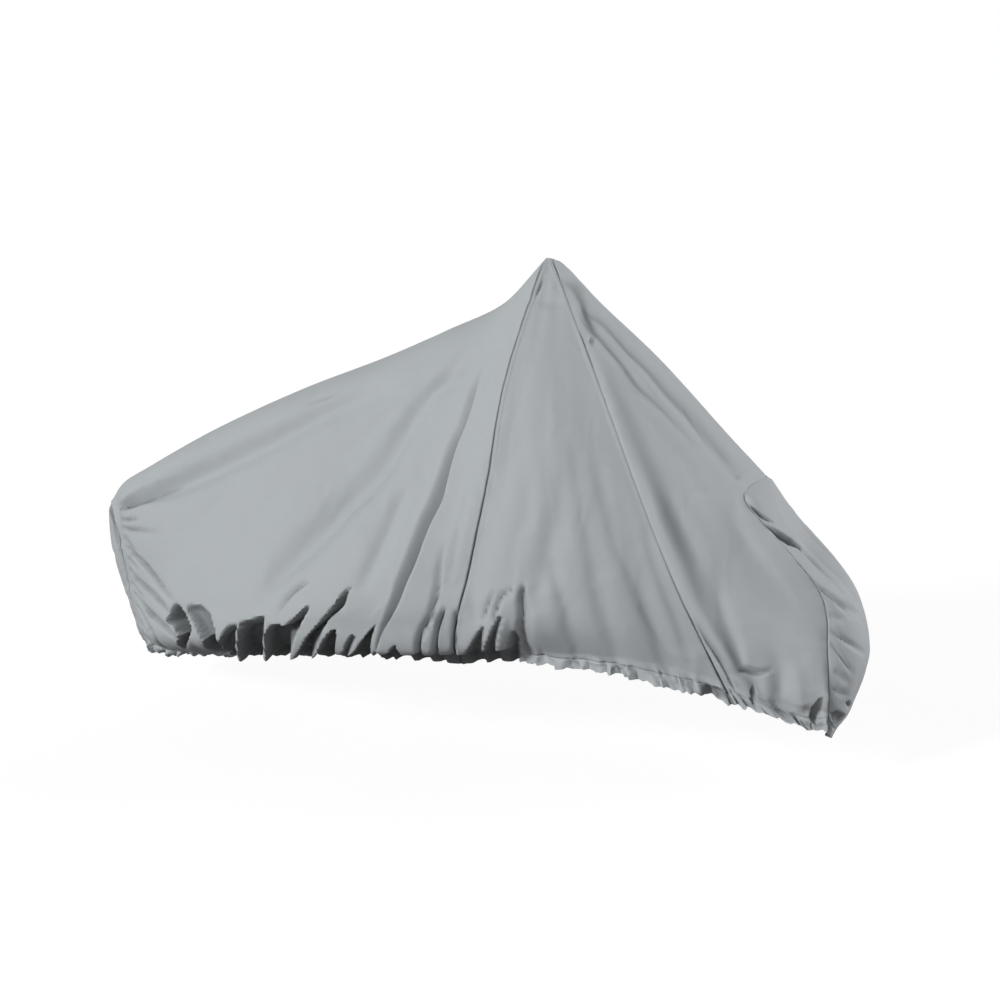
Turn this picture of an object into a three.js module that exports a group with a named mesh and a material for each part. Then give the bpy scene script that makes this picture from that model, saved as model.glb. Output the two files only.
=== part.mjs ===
// A fitted motorcycle cover, pulled over from above and drawn in along its elastic hem.
// Six cloth panels meet at butt seams. Millimetres: X forward, Y to the left, Z up, and the
// origin is on the inside of the peak, the point that the whole cover hangs from.
import * as THREE from "three";

const CLOTH = 2; // thickness of the coated cloth with its seam allowances
const SEAM_GAP = 0.3; // clear width between two panels at a seam
const RIDGE_FADE = 0.7; // folds die out over this part of the first span beside the ridge
const END_FADE = 0.8; // and over this part of a section's spacing before the gussets
const SLOPE_STEP = 0.02; // part of a span over which the cloth's slope is measured
const HOLLOW_POINT = [-100, 0, -700]; // a point well inside the cover
const KEYS_PER_MM = 10; // points that round to the same tenth of a millimetre share a seam

// Stations down one side of a section, and the share of its fall at which each one lies.
const STATIONS = ["ridge", "crown", "waist", "belly", "hip", "tuck", "hem"];
const FALL_SHARES = [0, 0.06, 0.28, 0.49, 0.7, 0.86, 1];
const ROWS_PER_SPAN = [3, 3, 4, 3, 2, 2];
const COLUMNS = { rear: 31, gore: 12, front: 13 };
const CROWN = 1;
const HEM = STATIONS.length - 1;

// The back seam and the nose seam, station by station, on one side.
const BACK_SEAM = [
  { at: "ridge", fore: -1413, out: 0, fall: 812 },
  { at: "crown", fore: -1372, out: 50, fall: 868 },
  { at: "waist", fore: -1322, out: 88, fall: 975 },
  { at: "belly", fore: -1306, out: 101, fall: 1030 },
  { at: "hip", fore: -1294, out: 112, fall: 1080 },
  { at: "tuck", fore: -1264, out: 125, fall: 1168 },
  { at: "hem", fore: -1234, out: 118, fall: 1237 },
];
const NOSE_SEAM = [
  { at: "ridge", fore: 603, out: 0, fall: 544 },
  { at: "crown", fore: 566, out: 94, fall: 580 },
  { at: "waist", fore: 687, out: 122, fall: 698 },
  { at: "belly", fore: 786, out: 118, fall: 824 },
  { at: "hip", fore: 810, out: 138, fall: 979 },
  { at: "tuck", fore: 819, out: 140, fall: 1095 },
  { at: "hem", fore: 819, out: 118, fall: 1193 },
];

// The last section before the nose seam is bent like the seam, because its top edge turns a corner.
const BROW = [
  { at: "ridge", fore: 501, out: 0, fall: 445 },
  { at: "crown", fore: 495, out: 118, fall: 551 },
  { at: "waist", fore: 568, out: 168, fall: 693 },
  { at: "belly", fore: 657, out: 186, fall: 837 },
  { at: "hip", fore: 734, out: 208, fall: 962 },
  { at: "tuck", fore: 776, out: 204, fall: 1087 },
  { at: "hem", fore: 773, out: 182, fall: 1153 },
];

// Middle lines of the two gussets, from the top edge down to the hem.
const BACK_MIDDLE = [
  { at: "ridge", fore: -1413, fall: 812 },
  { at: "waist", fore: -1406, fall: 921 },
  { at: "belly", fore: -1372, fall: 1032 },
  { at: "hip", fore: -1332, fall: 1130 },
  { at: "tuck", fore: -1288, fall: 1215 },
  { at: "hem", fore: -1258, fall: 1262 },
];
const NOSE_MIDDLE = [
  { at: "ridge", fore: 603, fall: 544 },
  { at: "waist", fore: 711, fall: 707 },
  { at: "belly", fore: 842, fall: 833 },
  { at: "hip", fore: 897, fall: 1002 },
  { at: "tuck", fore: 869, fall: 1140 },
  { at: "hem", fore: 822, fall: 1250 },
];

// Sections between the two seams. top and foot are [fore, fall] at the ridge and the hem, outs are
// the half widths from crown to hem, and bow carries the middle of a section forward.
const SECTIONS = [
  { name: "rump", top: [-1362, 749], outs: [45, 105, 138, 165, 175, 120], foot: [-1180, 1236], bow: 0 },
  { name: "tail", top: [-1269, 690], outs: [70, 140, 180, 215, 225, 135], foot: [-1123, 1231], bow: 0 },
  { name: "haunch", top: [-1039, 556], outs: [90, 170, 248, 320, 340, 200], foot: [-894, 1179], bow: 0 },
  { name: "flank", top: [-753, 415], outs: [105, 195, 300, 395, 410, 260], foot: [-682, 1127], bow: 0 },
  { name: "saddle", top: [-484, 301], outs: [110, 205, 315, 415, 430, 300], foot: [-490, 1091], bow: 0 },
  { name: "rise", top: [-287, 208], outs: [110, 210, 318, 420, 435, 310], foot: [-364, 1076], bow: 0 },
  { name: "neck", top: [-127, 126], outs: [95, 215, 320, 415, 435, 310], foot: [-260, 1067], bow: 0 },
  { name: "rear_seam", top: [-10, 1], outs: [75, 235, 325, 395, 430, 310], foot: [-152, 1058], bow: 0 },
  { name: "gore_rear", top: [-5, 0], outs: [72, 230, 325, 400, 430, 330], foot: [37, 1019], bow: -4 },
  { name: "gore_middle", top: [0, 0], outs: [70, 225, 320, 395, 415, 345], foot: [231, 1005], bow: -8 },
  { name: "gore_front", top: [5, 1], outs: [70, 215, 302, 370, 385, 350], foot: [394, 1008], bow: 1 },
  { name: "fore_seam", top: [10, 3], outs: [70, 205, 275, 325, 325, 306], foot: [593, 1051], bow: 15 },
  { name: "fork", top: [140, 115], outs: [72, 190, 250, 298, 295, 278], foot: [654, 1080], bow: -33 },
  { name: "lamp", top: [306, 256], outs: [80, 170, 215, 255, 250, 236], foot: [710, 1114], bow: -69 },
];
const REAR_SEAM = 1 + SECTIONS.findIndex((row) => row.name === "rear_seam");
const FORE_SEAM = 1 + SECTIONS.findIndex((row) => row.name === "fore_seam");
const NOSE = SECTIONS.length + 2;
const PANEL_ENDS = [0, REAR_SEAM, FORE_SEAM, NOSE];

// Main folds seen from the side, [fore, fall] at both ends. Depth runs inwards, width is the
// distance from the fold's bottom at which it has lost two thirds of its depth.
const RIGHT = -1;
const LEFT = 1;
const FOLDS = [
  { side: RIGHT, from: [-1301, 791], to: [-1020, 635], width: 36, depth: 14 },
  { side: RIGHT, from: [-1020, 635], to: [-570, 405], width: 40, depth: 16 },
  { side: RIGHT, from: [-292, 444], to: [-529, 647], width: 48, depth: 15 },
  { side: RIGHT, from: [-529, 647], to: [-761, 825], width: 55, depth: 10 },
  { side: RIGHT, from: [-118, 346], to: [-211, 598], width: 30, depth: 15 },
  { side: RIGHT, from: [-211, 598], to: [-313, 955], width: 32, depth: 24 },
  { side: RIGHT, from: [-401, 823], to: [-561, 1080], width: 30, depth: 14 },
  { side: RIGHT, from: [-162, 711], to: [-196, 1036], width: 26, depth: 14 },
  { side: RIGHT, from: [129, 580], to: [92, 763], width: 42, depth: 12 },
  { side: RIGHT, from: [79, 782], to: [71, 958], width: 28, depth: 16 },
  { side: RIGHT, from: [150, 770], to: [206, 931], width: 30, depth: 12 },
  { side: RIGHT, from: [277, 613], to: [407, 969], width: 34, depth: 12 },
  { side: RIGHT, from: [427, 529], to: [630, 738], width: 36, depth: 12 },
  { side: RIGHT, from: [498, 733], to: [610, 970], width: 34, depth: 12 },
  { side: RIGHT, from: [-1025, 1015], to: [-1036, 1137], width: 30, depth: 18 },
  { side: RIGHT, from: [-902, 980], to: [-912, 1097], width: 30, depth: 20 },
  { side: RIGHT, from: [-740, 973], to: [-790, 1110], width: 34, depth: 18 },
  { side: RIGHT, from: [-599, 913], to: [-644, 1071], width: 32, depth: 20 },
  { side: LEFT, from: [-1260, 800], to: [-930, 610], width: 40, depth: 14 },
  { side: LEFT, from: [-900, 590], to: [-520, 420], width: 38, depth: 12 },
  { side: LEFT, from: [-180, 380], to: [-420, 640], width: 46, depth: 16 },
  { side: LEFT, from: [-420, 640], to: [-640, 900], width: 50, depth: 12 },
  { side: LEFT, from: [-90, 400], to: [-170, 930], width: 32, depth: 20 },
  { side: LEFT, from: [10, 560], to: [-20, 980], width: 34, depth: 15 },
  { side: LEFT, from: [120, 500], to: [190, 960], width: 36, depth: 13 },
  { side: LEFT, from: [250, 560], to: [380, 980], width: 32, depth: 12 },
  { side: LEFT, from: [330, 600], to: [520, 1020], width: 32, depth: 12 },
  { side: LEFT, from: [400, 480], to: [590, 760], width: 38, depth: 12 },
  { side: LEFT, from: [560, 780], to: [640, 1010], width: 30, depth: 10 },
  { side: LEFT, from: [-1070, 1000], to: [-1050, 1130], width: 30, depth: 18 },
  { side: LEFT, from: [-880, 960], to: [-860, 1100], width: 34, depth: 20 },
  { side: LEFT, from: [-690, 930], to: [-700, 1080], width: 30, depth: 16 },
  { side: LEFT, from: [-520, 900], to: [-545, 1060], width: 34, depth: 20 },
  { side: LEFT, from: [-340, 880], to: [-380, 1050], width: 30, depth: 15 },
];

// Slack cloth across each gusset, at a share of its height.
const GUSSET_SLACK = { share: 0.62, width: 0.16, depth: 8 };

const CLOTH_COLOURS = {
  rear_panel: 0x9ea4a8,
  gore_right: 0x989ea2,
  gore_left: 0x989ea2,
  front_panel: 0x9aa0a4,
  back_gusset: 0x8e9498,
  nose_gusset: 0xa0a6aa,
};

// A smooth curve through rows of numbers. Both ends carry one extra row that sets the slope there.
function curveAt(rows, place) {
  const spans = rows.length - 3;
  const span = Math.min(Math.floor(Math.max(place, 0)), spans - 1);
  const t = place - span;
  const [a, b, c, d] = rows.slice(span, span + 4);
  return b.map((value, axis) => {
    const slope = c[axis] - a[axis];
    const bend = 2 * a[axis] - 5 * value + 4 * c[axis] - d[axis];
    const twist = -a[axis] + 3 * value - 3 * c[axis] + d[axis];
    return 0.5 * (2 * value + slope * t + bend * t * t + twist * t ** 3);
  });
}

function beyond(end, inner) {
  return end.map((value, axis) => 2 * value - inner[axis]);
}

function withEnds(rows) {
  const last = rows.length - 1;
  return [beyond(rows[0], rows[1]), ...rows, beyond(rows[last], rows[last - 1])];
}

// One section as [fore, out, fall] at each station.
function sectionStations({ top, outs, foot, bow }) {
  return FALL_SHARES.map((share, station) => {
    const fore = THREE.MathUtils.lerp(top[0], foot[0], share) + bow * 4 * share * (1 - share);
    const out = station === 0 ? 0 : outs[station - 1];
    return [fore, out, THREE.MathUtils.lerp(top[1], foot[1], share)];
  });
}

const asPoint = ({ fore, out, fall }) => [fore, out, fall];
const NET = [
  BACK_SEAM.map(asPoint),
  ...SECTIONS.map(sectionStations),
  BROW.map(asPoint),
  NOSE_SEAM.map(asPoint),
];

// The stations of the section at a place between 0, the back seam, and NOSE, with the crown of the
// other side in front so that the cloth runs level over the ridge. Each panel is smooth in itself,
// and the cloth may crease where two of them are sewn together.
function sectionRows(place) {
  const panel = Math.max(PANEL_ENDS.findIndex((end) => place <= end), 1);
  const [first, last] = [PANEL_ENDS[panel - 1], PANEL_ENDS[panel]];
  const sections = NET.slice(first, last + 1);
  const stations = STATIONS.map((_, station) => {
    const line = withEnds(sections.map((row) => row[station]));
    return curveAt(line, place - first);
  });
  const [fore, out, fall] = stations[CROWN];
  return [[fore, -out, fall], ...stations, beyond(stations[HEM], stations[HEM - 1])];
}

// How far the folds press the cloth in at a point seen from the side.
function foldDepth(fore, fall, side) {
  const here = new THREE.Vector2(fore, fall);
  let depth = 0;
  for (const fold of FOLDS) {
    if (fold.side !== side) continue;
    const start = new THREE.Vector2(...fold.from);
    const run = new THREE.Vector2(...fold.to).sub(start);
    const along = here.clone().sub(start).dot(run) / run.lengthSq();
    const nearest = start.addScaledVector(run, THREE.MathUtils.clamp(along, 0, 1));
    const apart = here.distanceTo(nearest) / fold.width;
    depth += fold.depth * Math.exp(-apart * apart);
  }
  return depth;
}

function plainPoint(place, station, side) {
  const [fore, out, fall] = curveAt(sectionRows(place), station);
  return new THREE.Vector3(fore, side * out, CLOTH - fall);
}

// A point of the outer face: the plain form, pressed in along its own normal by the folds.
function clothPoint(place, station, side) {
  const point = plainPoint(place, station, side);
  const before = plainPoint(Math.max(place - SLOPE_STEP, 0), station, side);
  const after = plainPoint(Math.min(place + SLOPE_STEP, NOSE), station, side);
  const above = plainPoint(place, Math.max(station - SLOPE_STEP, 0), side);
  const below = plainPoint(place, Math.min(station + SLOPE_STEP, HEM), side);
  const outward = after.sub(before).cross(below.sub(above)).normalize().multiplyScalar(-side);
  const besideRidge = THREE.MathUtils.smoothstep(station, 0, RIDGE_FADE);
  const besideEnds = THREE.MathUtils.smoothstep(Math.min(place, NOSE - place), 0, END_FADE);
  const depth = foldDepth(point.x, CLOTH - point.z, side) * besideRidge * besideEnds;
  return point.addScaledVector(outward, -depth);
}

// Stations of the rows of cloth from the ridge to the hem.
const ROW_STATIONS = [0];
ROWS_PER_SPAN.forEach((rows, span) => {
  for (let row = 1; row <= rows; row += 1) {
    ROW_STATIONS.push(span + row / rows);
  }
});

function columnPlaces(from, to, columns) {
  return Array.from({ length: columns + 1 }, (_, column) => from + ((to - from) * column) / columns);
}

// A panel that lies over the ridge from hem to hem.
function saddlePanel(from, to, columns) {
  return columnPlaces(from, to, columns).map((place) => {
    const right = ROW_STATIONS.map((station) => clothPoint(place, station, RIGHT)).reverse();
    const left = ROW_STATIONS.slice(1).map((station) => clothPoint(place, station, LEFT));
    return [...right, ...left];
  });
}

// A panel on one side only, from the ridge to the hem.
function sidePanel(from, to, columns, side) {
  return columnPlaces(from, to, columns).map((place) =>
    ROW_STATIONS.map((station) => clothPoint(place, station, side)),
  );
}

// A strip between the same seam of both sides. Its top edge follows the seam over the ridge, and
// below that each row is a half ellipse through the middle line.
function gusset(place, middle) {
  const half = ROWS_PER_SPAN[0];
  const middleRows = withEnds(middle.map(({ fore, fall }) => [fore, fall]));
  const columns = [];
  for (let column = -half; column <= half; column += 1) {
    const side = column < 0 ? RIGHT : LEFT;
    const share = Math.abs(column) / half;
    const turn = (share * Math.PI) / 2;
    const points = [clothPoint(place, share, side)];
    for (const station of ROW_STATIONS.slice(half + 1)) {
      const seam = clothPoint(place, station, side);
      const [fore, fall] = curveAt(middleRows, station - CROWN);
      const down = (station - CROWN) / (HEM - CROWN);
      const apart = (down - GUSSET_SLACK.share) / GUSSET_SLACK.width;
      const slack = GUSSET_SLACK.depth * Math.exp(-apart * apart);
      const towards = Math.sign(seam.x - fore) * slack * Math.cos(turn) * share;
      const x = THREE.MathUtils.lerp(fore, seam.x, 1 - Math.cos(turn)) + towards;
      const z = THREE.MathUtils.lerp(CLOTH - fall, seam.z, 1 - Math.cos(turn));
      points.push(share === 1 ? seam : new THREE.Vector3(x, seam.y * Math.sin(turn), z));
    }
    columns.push(points);
  }
  return columns;
}

function gridNormal(grid, column, row) {
  const before = grid[Math.max(column - 1, 0)][row];
  const after = grid[Math.min(column + 1, grid.length - 1)][row];
  const above = grid[column][Math.max(row - 1, 0)];
  const below = grid[column][Math.min(row + 1, grid[0].length - 1)];
  return after.clone().sub(before).cross(below.clone().sub(above)).normalize();
}

// Faces of the grid point out when the normal at its middle points away from the cover's inside.
function facesOut(grid) {
  const column = Math.floor(grid.length / 2);
  const row = Math.floor(grid[0].length / 2);
  const inside = new THREE.Vector3(...HOLLOW_POINT);
  return gridNormal(grid, column, row).dot(grid[column][row].clone().sub(inside)) > 0;
}

const isEdge = (grid, column, row) =>
  column === 0 || row === 0 || column === grid.length - 1 || row === grid[0].length - 1;

const seamKey = (point) => point.toArray().map((value) => Math.round(value * KEYS_PER_MM)).join(" ");

// Normals of every panel, averaged where two panels share a seam so that both are mitred alike.
function panelNormals(grids) {
  const shared = new Map();
  const normals = grids.map((grid) =>
    grid.map((points, column) =>
      points.map((point, row) => {
        const normal = gridNormal(grid, column, row);
        if (isEdge(grid, column, row)) {
          const key = seamKey(point);
          shared.set(key, (shared.get(key) ?? new THREE.Vector3()).add(normal));
        }
        return normal;
      }),
    ),
  );
  const mitred = (point, normal) => (shared.get(seamKey(point)) ?? normal).clone().normalize();
  return grids.map((grid, index) =>
    grid.map((points, column) =>
      points.map((point, row) => {
        const own = normals[index][column][row];
        return isEdge(grid, column, row) ? mitred(point, own) : own;
      }),
    ),
  );
}

// The step into the panel from an edge point, square to the seam, that leaves half the seam gap.
function intoPanel(grid, column, row, normal) {
  const point = grid[column][row];
  const lastColumn = grid.length - 1;
  const lastRow = grid[0].length - 1;
  const step = new THREE.Vector3();
  const add = (inner, alongA, alongB) => {
    const tangent = alongB.clone().sub(alongA).normalize();
    const inward = inner.clone().sub(point);
    inward.addScaledVector(tangent, -inward.dot(tangent));
    inward.addScaledVector(normal, -inward.dot(normal));
    step.addScaledVector(inward.normalize(), SEAM_GAP / 2);
  };
  const up = grid[column][Math.max(row - 1, 0)];
  const down = grid[column][Math.min(row + 1, lastRow)];
  const back = grid[Math.max(column - 1, 0)][row];
  const fore = grid[Math.min(column + 1, lastColumn)][row];
  if (column === 0) add(fore, up, down);
  if (column === lastColumn) add(back, up, down);
  if (row === 0) add(down, back, fore);
  if (row === lastRow) add(up, back, fore);
  return step;
}

// The closed sheet between the outer face and the face one cloth thickness inside it.
function sheetGeometry(grid, normals) {
  const columns = grid.length;
  const rows = grid[0].length;
  const outer = [];
  const inner = [];
  grid.forEach((points, column) =>
    points.forEach((point, row) => {
      const normal = normals[column][row];
      const face = point.clone().add(intoPanel(grid, column, row, normal));
      outer.push(face);
      inner.push(face.clone().addScaledVector(normal, -CLOTH));
    }),
  );
  const corners = [...outer, ...inner];
  const behind = outer.length;
  const triangles = [];
  const quad = (a, b, c, d) => {
    const short = corners[a].distanceTo(corners[c]) <= corners[b].distanceTo(corners[d]);
    triangles.push(...(short ? [a, b, c, a, c, d] : [a, b, d, b, c, d]));
  };
  const at = (column, row) => column * rows + row;
  for (let column = 0; column < columns - 1; column += 1) {
    for (let row = 0; row < rows - 1; row += 1) {
      const [a, b] = [at(column, row), at(column + 1, row)];
      const [c, d] = [at(column + 1, row + 1), at(column, row + 1)];
      quad(a, b, c, d);
      quad(behind + d, behind + c, behind + b, behind + a);
    }
  }
  const wall = (a, b) => quad(b, a, behind + a, behind + b);
  for (let column = 0; column < columns - 1; column += 1) {
    wall(at(column, 0), at(column + 1, 0));
    wall(at(column + 1, rows - 1), at(column, rows - 1));
  }
  for (let row = 0; row < rows - 1; row += 1) {
    wall(at(columns - 1, row), at(columns - 1, row + 1));
    wall(at(0, row + 1), at(0, row));
  }
  const geometry = new THREE.BufferGeometry();
  const positions = corners.flatMap((corner) => corner.toArray());
  geometry.setAttribute("position", new THREE.Float32BufferAttribute(positions, 3));
  geometry.setIndex(triangles);
  geometry.computeVertexNormals();
  return geometry;
}

const PANELS = {
  rear_panel: saddlePanel(0, REAR_SEAM, COLUMNS.rear),
  gore_right: sidePanel(REAR_SEAM, FORE_SEAM, COLUMNS.gore, RIGHT),
  gore_left: sidePanel(REAR_SEAM, FORE_SEAM, COLUMNS.gore, LEFT),
  front_panel: saddlePanel(FORE_SEAM, NOSE, COLUMNS.front),
  back_gusset: gusset(0, BACK_MIDDLE),
  nose_gusset: gusset(NOSE, NOSE_MIDDLE),
};

function motorcycleCover() {
  const names = Object.keys(PANELS);
  const grids = Object.values(PANELS).map((grid) => (facesOut(grid) ? grid : [...grid].reverse()));
  const normals = panelNormals(grids);
  const cover = new THREE.Group();
  names.forEach((name, index) => {
    const material = new THREE.MeshStandardMaterial({
      color: CLOTH_COLOURS[name],
      roughness: 0.82,
      metalness: 0,
      name: `${name}_cloth`,
    });
    const mesh = new THREE.Mesh(sheetGeometry(grids[index], normals[index]), material);
    mesh.name = name;
    cover.add(mesh);
  });
  return cover;
}

const cover = motorcycleCover();
export default cover;
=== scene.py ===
"""A fitted motorcycle cover: six sewn cloth panels with their folds, seams, stitches and gathered hem."""
import math

import bmesh
import bpy
import numpy as np
from bpy.props import FloatProperty, FloatVectorProperty, IntProperty, PointerProperty
from mathutils import Matrix, Vector


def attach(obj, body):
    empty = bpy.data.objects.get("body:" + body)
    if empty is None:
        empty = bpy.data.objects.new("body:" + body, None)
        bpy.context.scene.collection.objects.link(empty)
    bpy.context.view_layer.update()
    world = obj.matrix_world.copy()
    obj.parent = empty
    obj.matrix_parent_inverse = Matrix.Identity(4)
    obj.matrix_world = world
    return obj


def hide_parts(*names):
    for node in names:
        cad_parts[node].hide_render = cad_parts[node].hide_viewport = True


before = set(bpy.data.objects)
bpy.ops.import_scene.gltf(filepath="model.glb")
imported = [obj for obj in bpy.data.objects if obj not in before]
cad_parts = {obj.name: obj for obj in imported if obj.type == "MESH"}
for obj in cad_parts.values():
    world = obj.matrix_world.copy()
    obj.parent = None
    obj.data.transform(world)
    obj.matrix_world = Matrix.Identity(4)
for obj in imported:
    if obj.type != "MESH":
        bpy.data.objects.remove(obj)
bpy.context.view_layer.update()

bl_info = {
    "name": "Motorcycle Cover",
    "version": (1, 0, 0),
    "blender": (4, 5, 0),
    "location": "View3D > Sidebar > Cover",
    "description": "Sews a fitted cloth cover with a tall peak and a gathered hem",
    "category": "Mesh",
}

MM = 0.001
SHEET = 2.0  # the solid's sheet: its outer face lies this far above the origin at the peak
RIGHT = -1
LEFT = 1

# The plain form, in millimetres. Each row of a seam is fore, out, fall at one station.
STATIONS = ("ridge", "crown", "waist", "belly", "hip", "tuck", "hem")
CROWN = STATIONS.index("crown")
HEM = STATIONS.index("hem")
FALL_SHARES = np.array([0, 0.06, 0.28, 0.49, 0.7, 0.86, 1])
BACK_SEAM = [
    (-1413, 0, 812),
    (-1372, 50, 868),
    (-1322, 88, 975),
    (-1306, 101, 1030),
    (-1294, 112, 1080),
    (-1264, 125, 1168),
    (-1234, 118, 1237),
]
NOSE_SEAM = [
    (603, 0, 544),
    (566, 94, 580),
    (687, 122, 698),
    (786, 118, 824),
    (810, 138, 979),
    (819, 140, 1095),
    (819, 118, 1193),
]
BROW = [
    (501, 0, 445),
    (495, 118, 551),
    (568, 168, 693),
    (657, 186, 837),
    (734, 208, 962),
    (776, 204, 1087),
    (773, 182, 1153),
]

# Sections between the seams: fore and fall at the ridge, half widths from crown to hem, fore and
# fall at the hem, and the bow that carries the middle of the section forward.
SECTIONS = {
    "rump": ((-1362, 749), (45, 105, 138, 165, 175, 120), (-1180, 1236), 0),
    "tail": ((-1269, 690), (70, 140, 180, 215, 225, 135), (-1123, 1231), 0),
    "haunch": ((-1039, 556), (90, 170, 248, 320, 340, 200), (-894, 1179), 0),
    "flank": ((-753, 415), (105, 195, 300, 395, 410, 260), (-682, 1127), 0),
    "saddle": ((-484, 301), (110, 205, 315, 415, 430, 300), (-490, 1091), 0),
    "rise": ((-287, 208), (110, 210, 318, 420, 435, 310), (-364, 1076), 0),
    "neck": ((-127, 126), (95, 215, 320, 415, 435, 310), (-260, 1067), 0),
    "rear_seam": ((-10, 1), (75, 235, 325, 395, 430, 310), (-152, 1058), 0),
    "gore_rear": ((-5, 0), (72, 230, 325, 400, 430, 330), (37, 1019), -4),
    "gore_middle": ((0, 0), (70, 225, 320, 395, 415, 345), (231, 1005), -8),
    "gore_front": ((5, 1), (70, 215, 302, 370, 385, 350), (394, 1008), 1),
    "fore_seam": ((10, 3), (70, 205, 275, 325, 325, 306), (593, 1051), 15),
    "front": ((140, 115), (72, 190, 250, 298, 295, 278), (654, 1080), -33),
    "forehead": ((306, 256), (80, 170, 215, 255, 250, 236), (710, 1114), -69),
}
# How far the taut seams drift forward of the straight line from the ridge to the hem.
SEAM_DRIFT = {"rear_seam": (0, 0, 3, 22, 29, 22, 12), "fore_seam": (0, 12, 23, 13, 6, 2, 0)}
REAR_SEAM = 1 + list(SECTIONS).index("rear_seam")
FORE_SEAM = 1 + list(SECTIONS).index("fore_seam")
NOSE = len(SECTIONS) + 2
PANEL_ENDS = (0, REAR_SEAM, FORE_SEAM, NOSE)

# Middle lines of the gussets, fore and fall from the top edge to the hem.
BACK_MIDDLE = [(-1413, 812), (-1406, 921), (-1372, 1032), (-1332, 1130), (-1288, 1215), (-1258, 1262)]
NOSE_MIDDLE = [(603, 544), (711, 707), (842, 833), (897, 1002), (869, 1140), (822, 1250)]

# The line of each side's sharpest fold, which a column of the cloth follows. See the folds below.
RIGHT_PLEAT = (
    "wall", (-138, 262, 12, 4, 0), (-147, 335, 18, 4, 7), (-155, 415, 24, 3, 13),
    (-168, 464, 28, 3, 18), (-176, 513, 31, 3, 22), (-180, 549, 34, 3, 24), (-187, 598, 38, 3, 26),
    (-206, 647, 36, 3, 26), (-219, 696, 34, 3, 25), (-230, 745, 35, 3, 26), (-248, 796, 31, 3, 23),
    (-265, 848, 27, 3, 20), (-291, 904, 20, 3, 15), (-308, 935, 14, 3, 11), (-326, 969, 8, 3, 7),
    (-336, 990, 5, 3, 0),
)
LEFT_PLEAT = (
    "wall", (-66, 250, 16, 3, 0), (-80, 350, 24, 3, 8), (-94, 440, 34, 3, 16), (-118, 600, 44, 3, 24),
    (-136, 720, 46, 3, 27), (-158, 830, 44, 3, 27), (-190, 950, 32, 3, 22), (-205, 1000, 18, 3, 8),
)
PLEAT_PLACE = 6.95  # place where that column starts at the ridge
PLEAT_STEP = 3.0  # distance to the next column, across the pleat's steep side
PLEAT_START = 1.6  # the columns run straight down from the ridge, and join the fold from here on
PLEAT_REACH = 3.0  # places on each side over which the columns bend with it

RIDGE_FADE = 0.7  # folds die out over this part of the first span beside the ridge
END_FADE = 0.5  # and over this part of a section's spacing before the gussets

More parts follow.
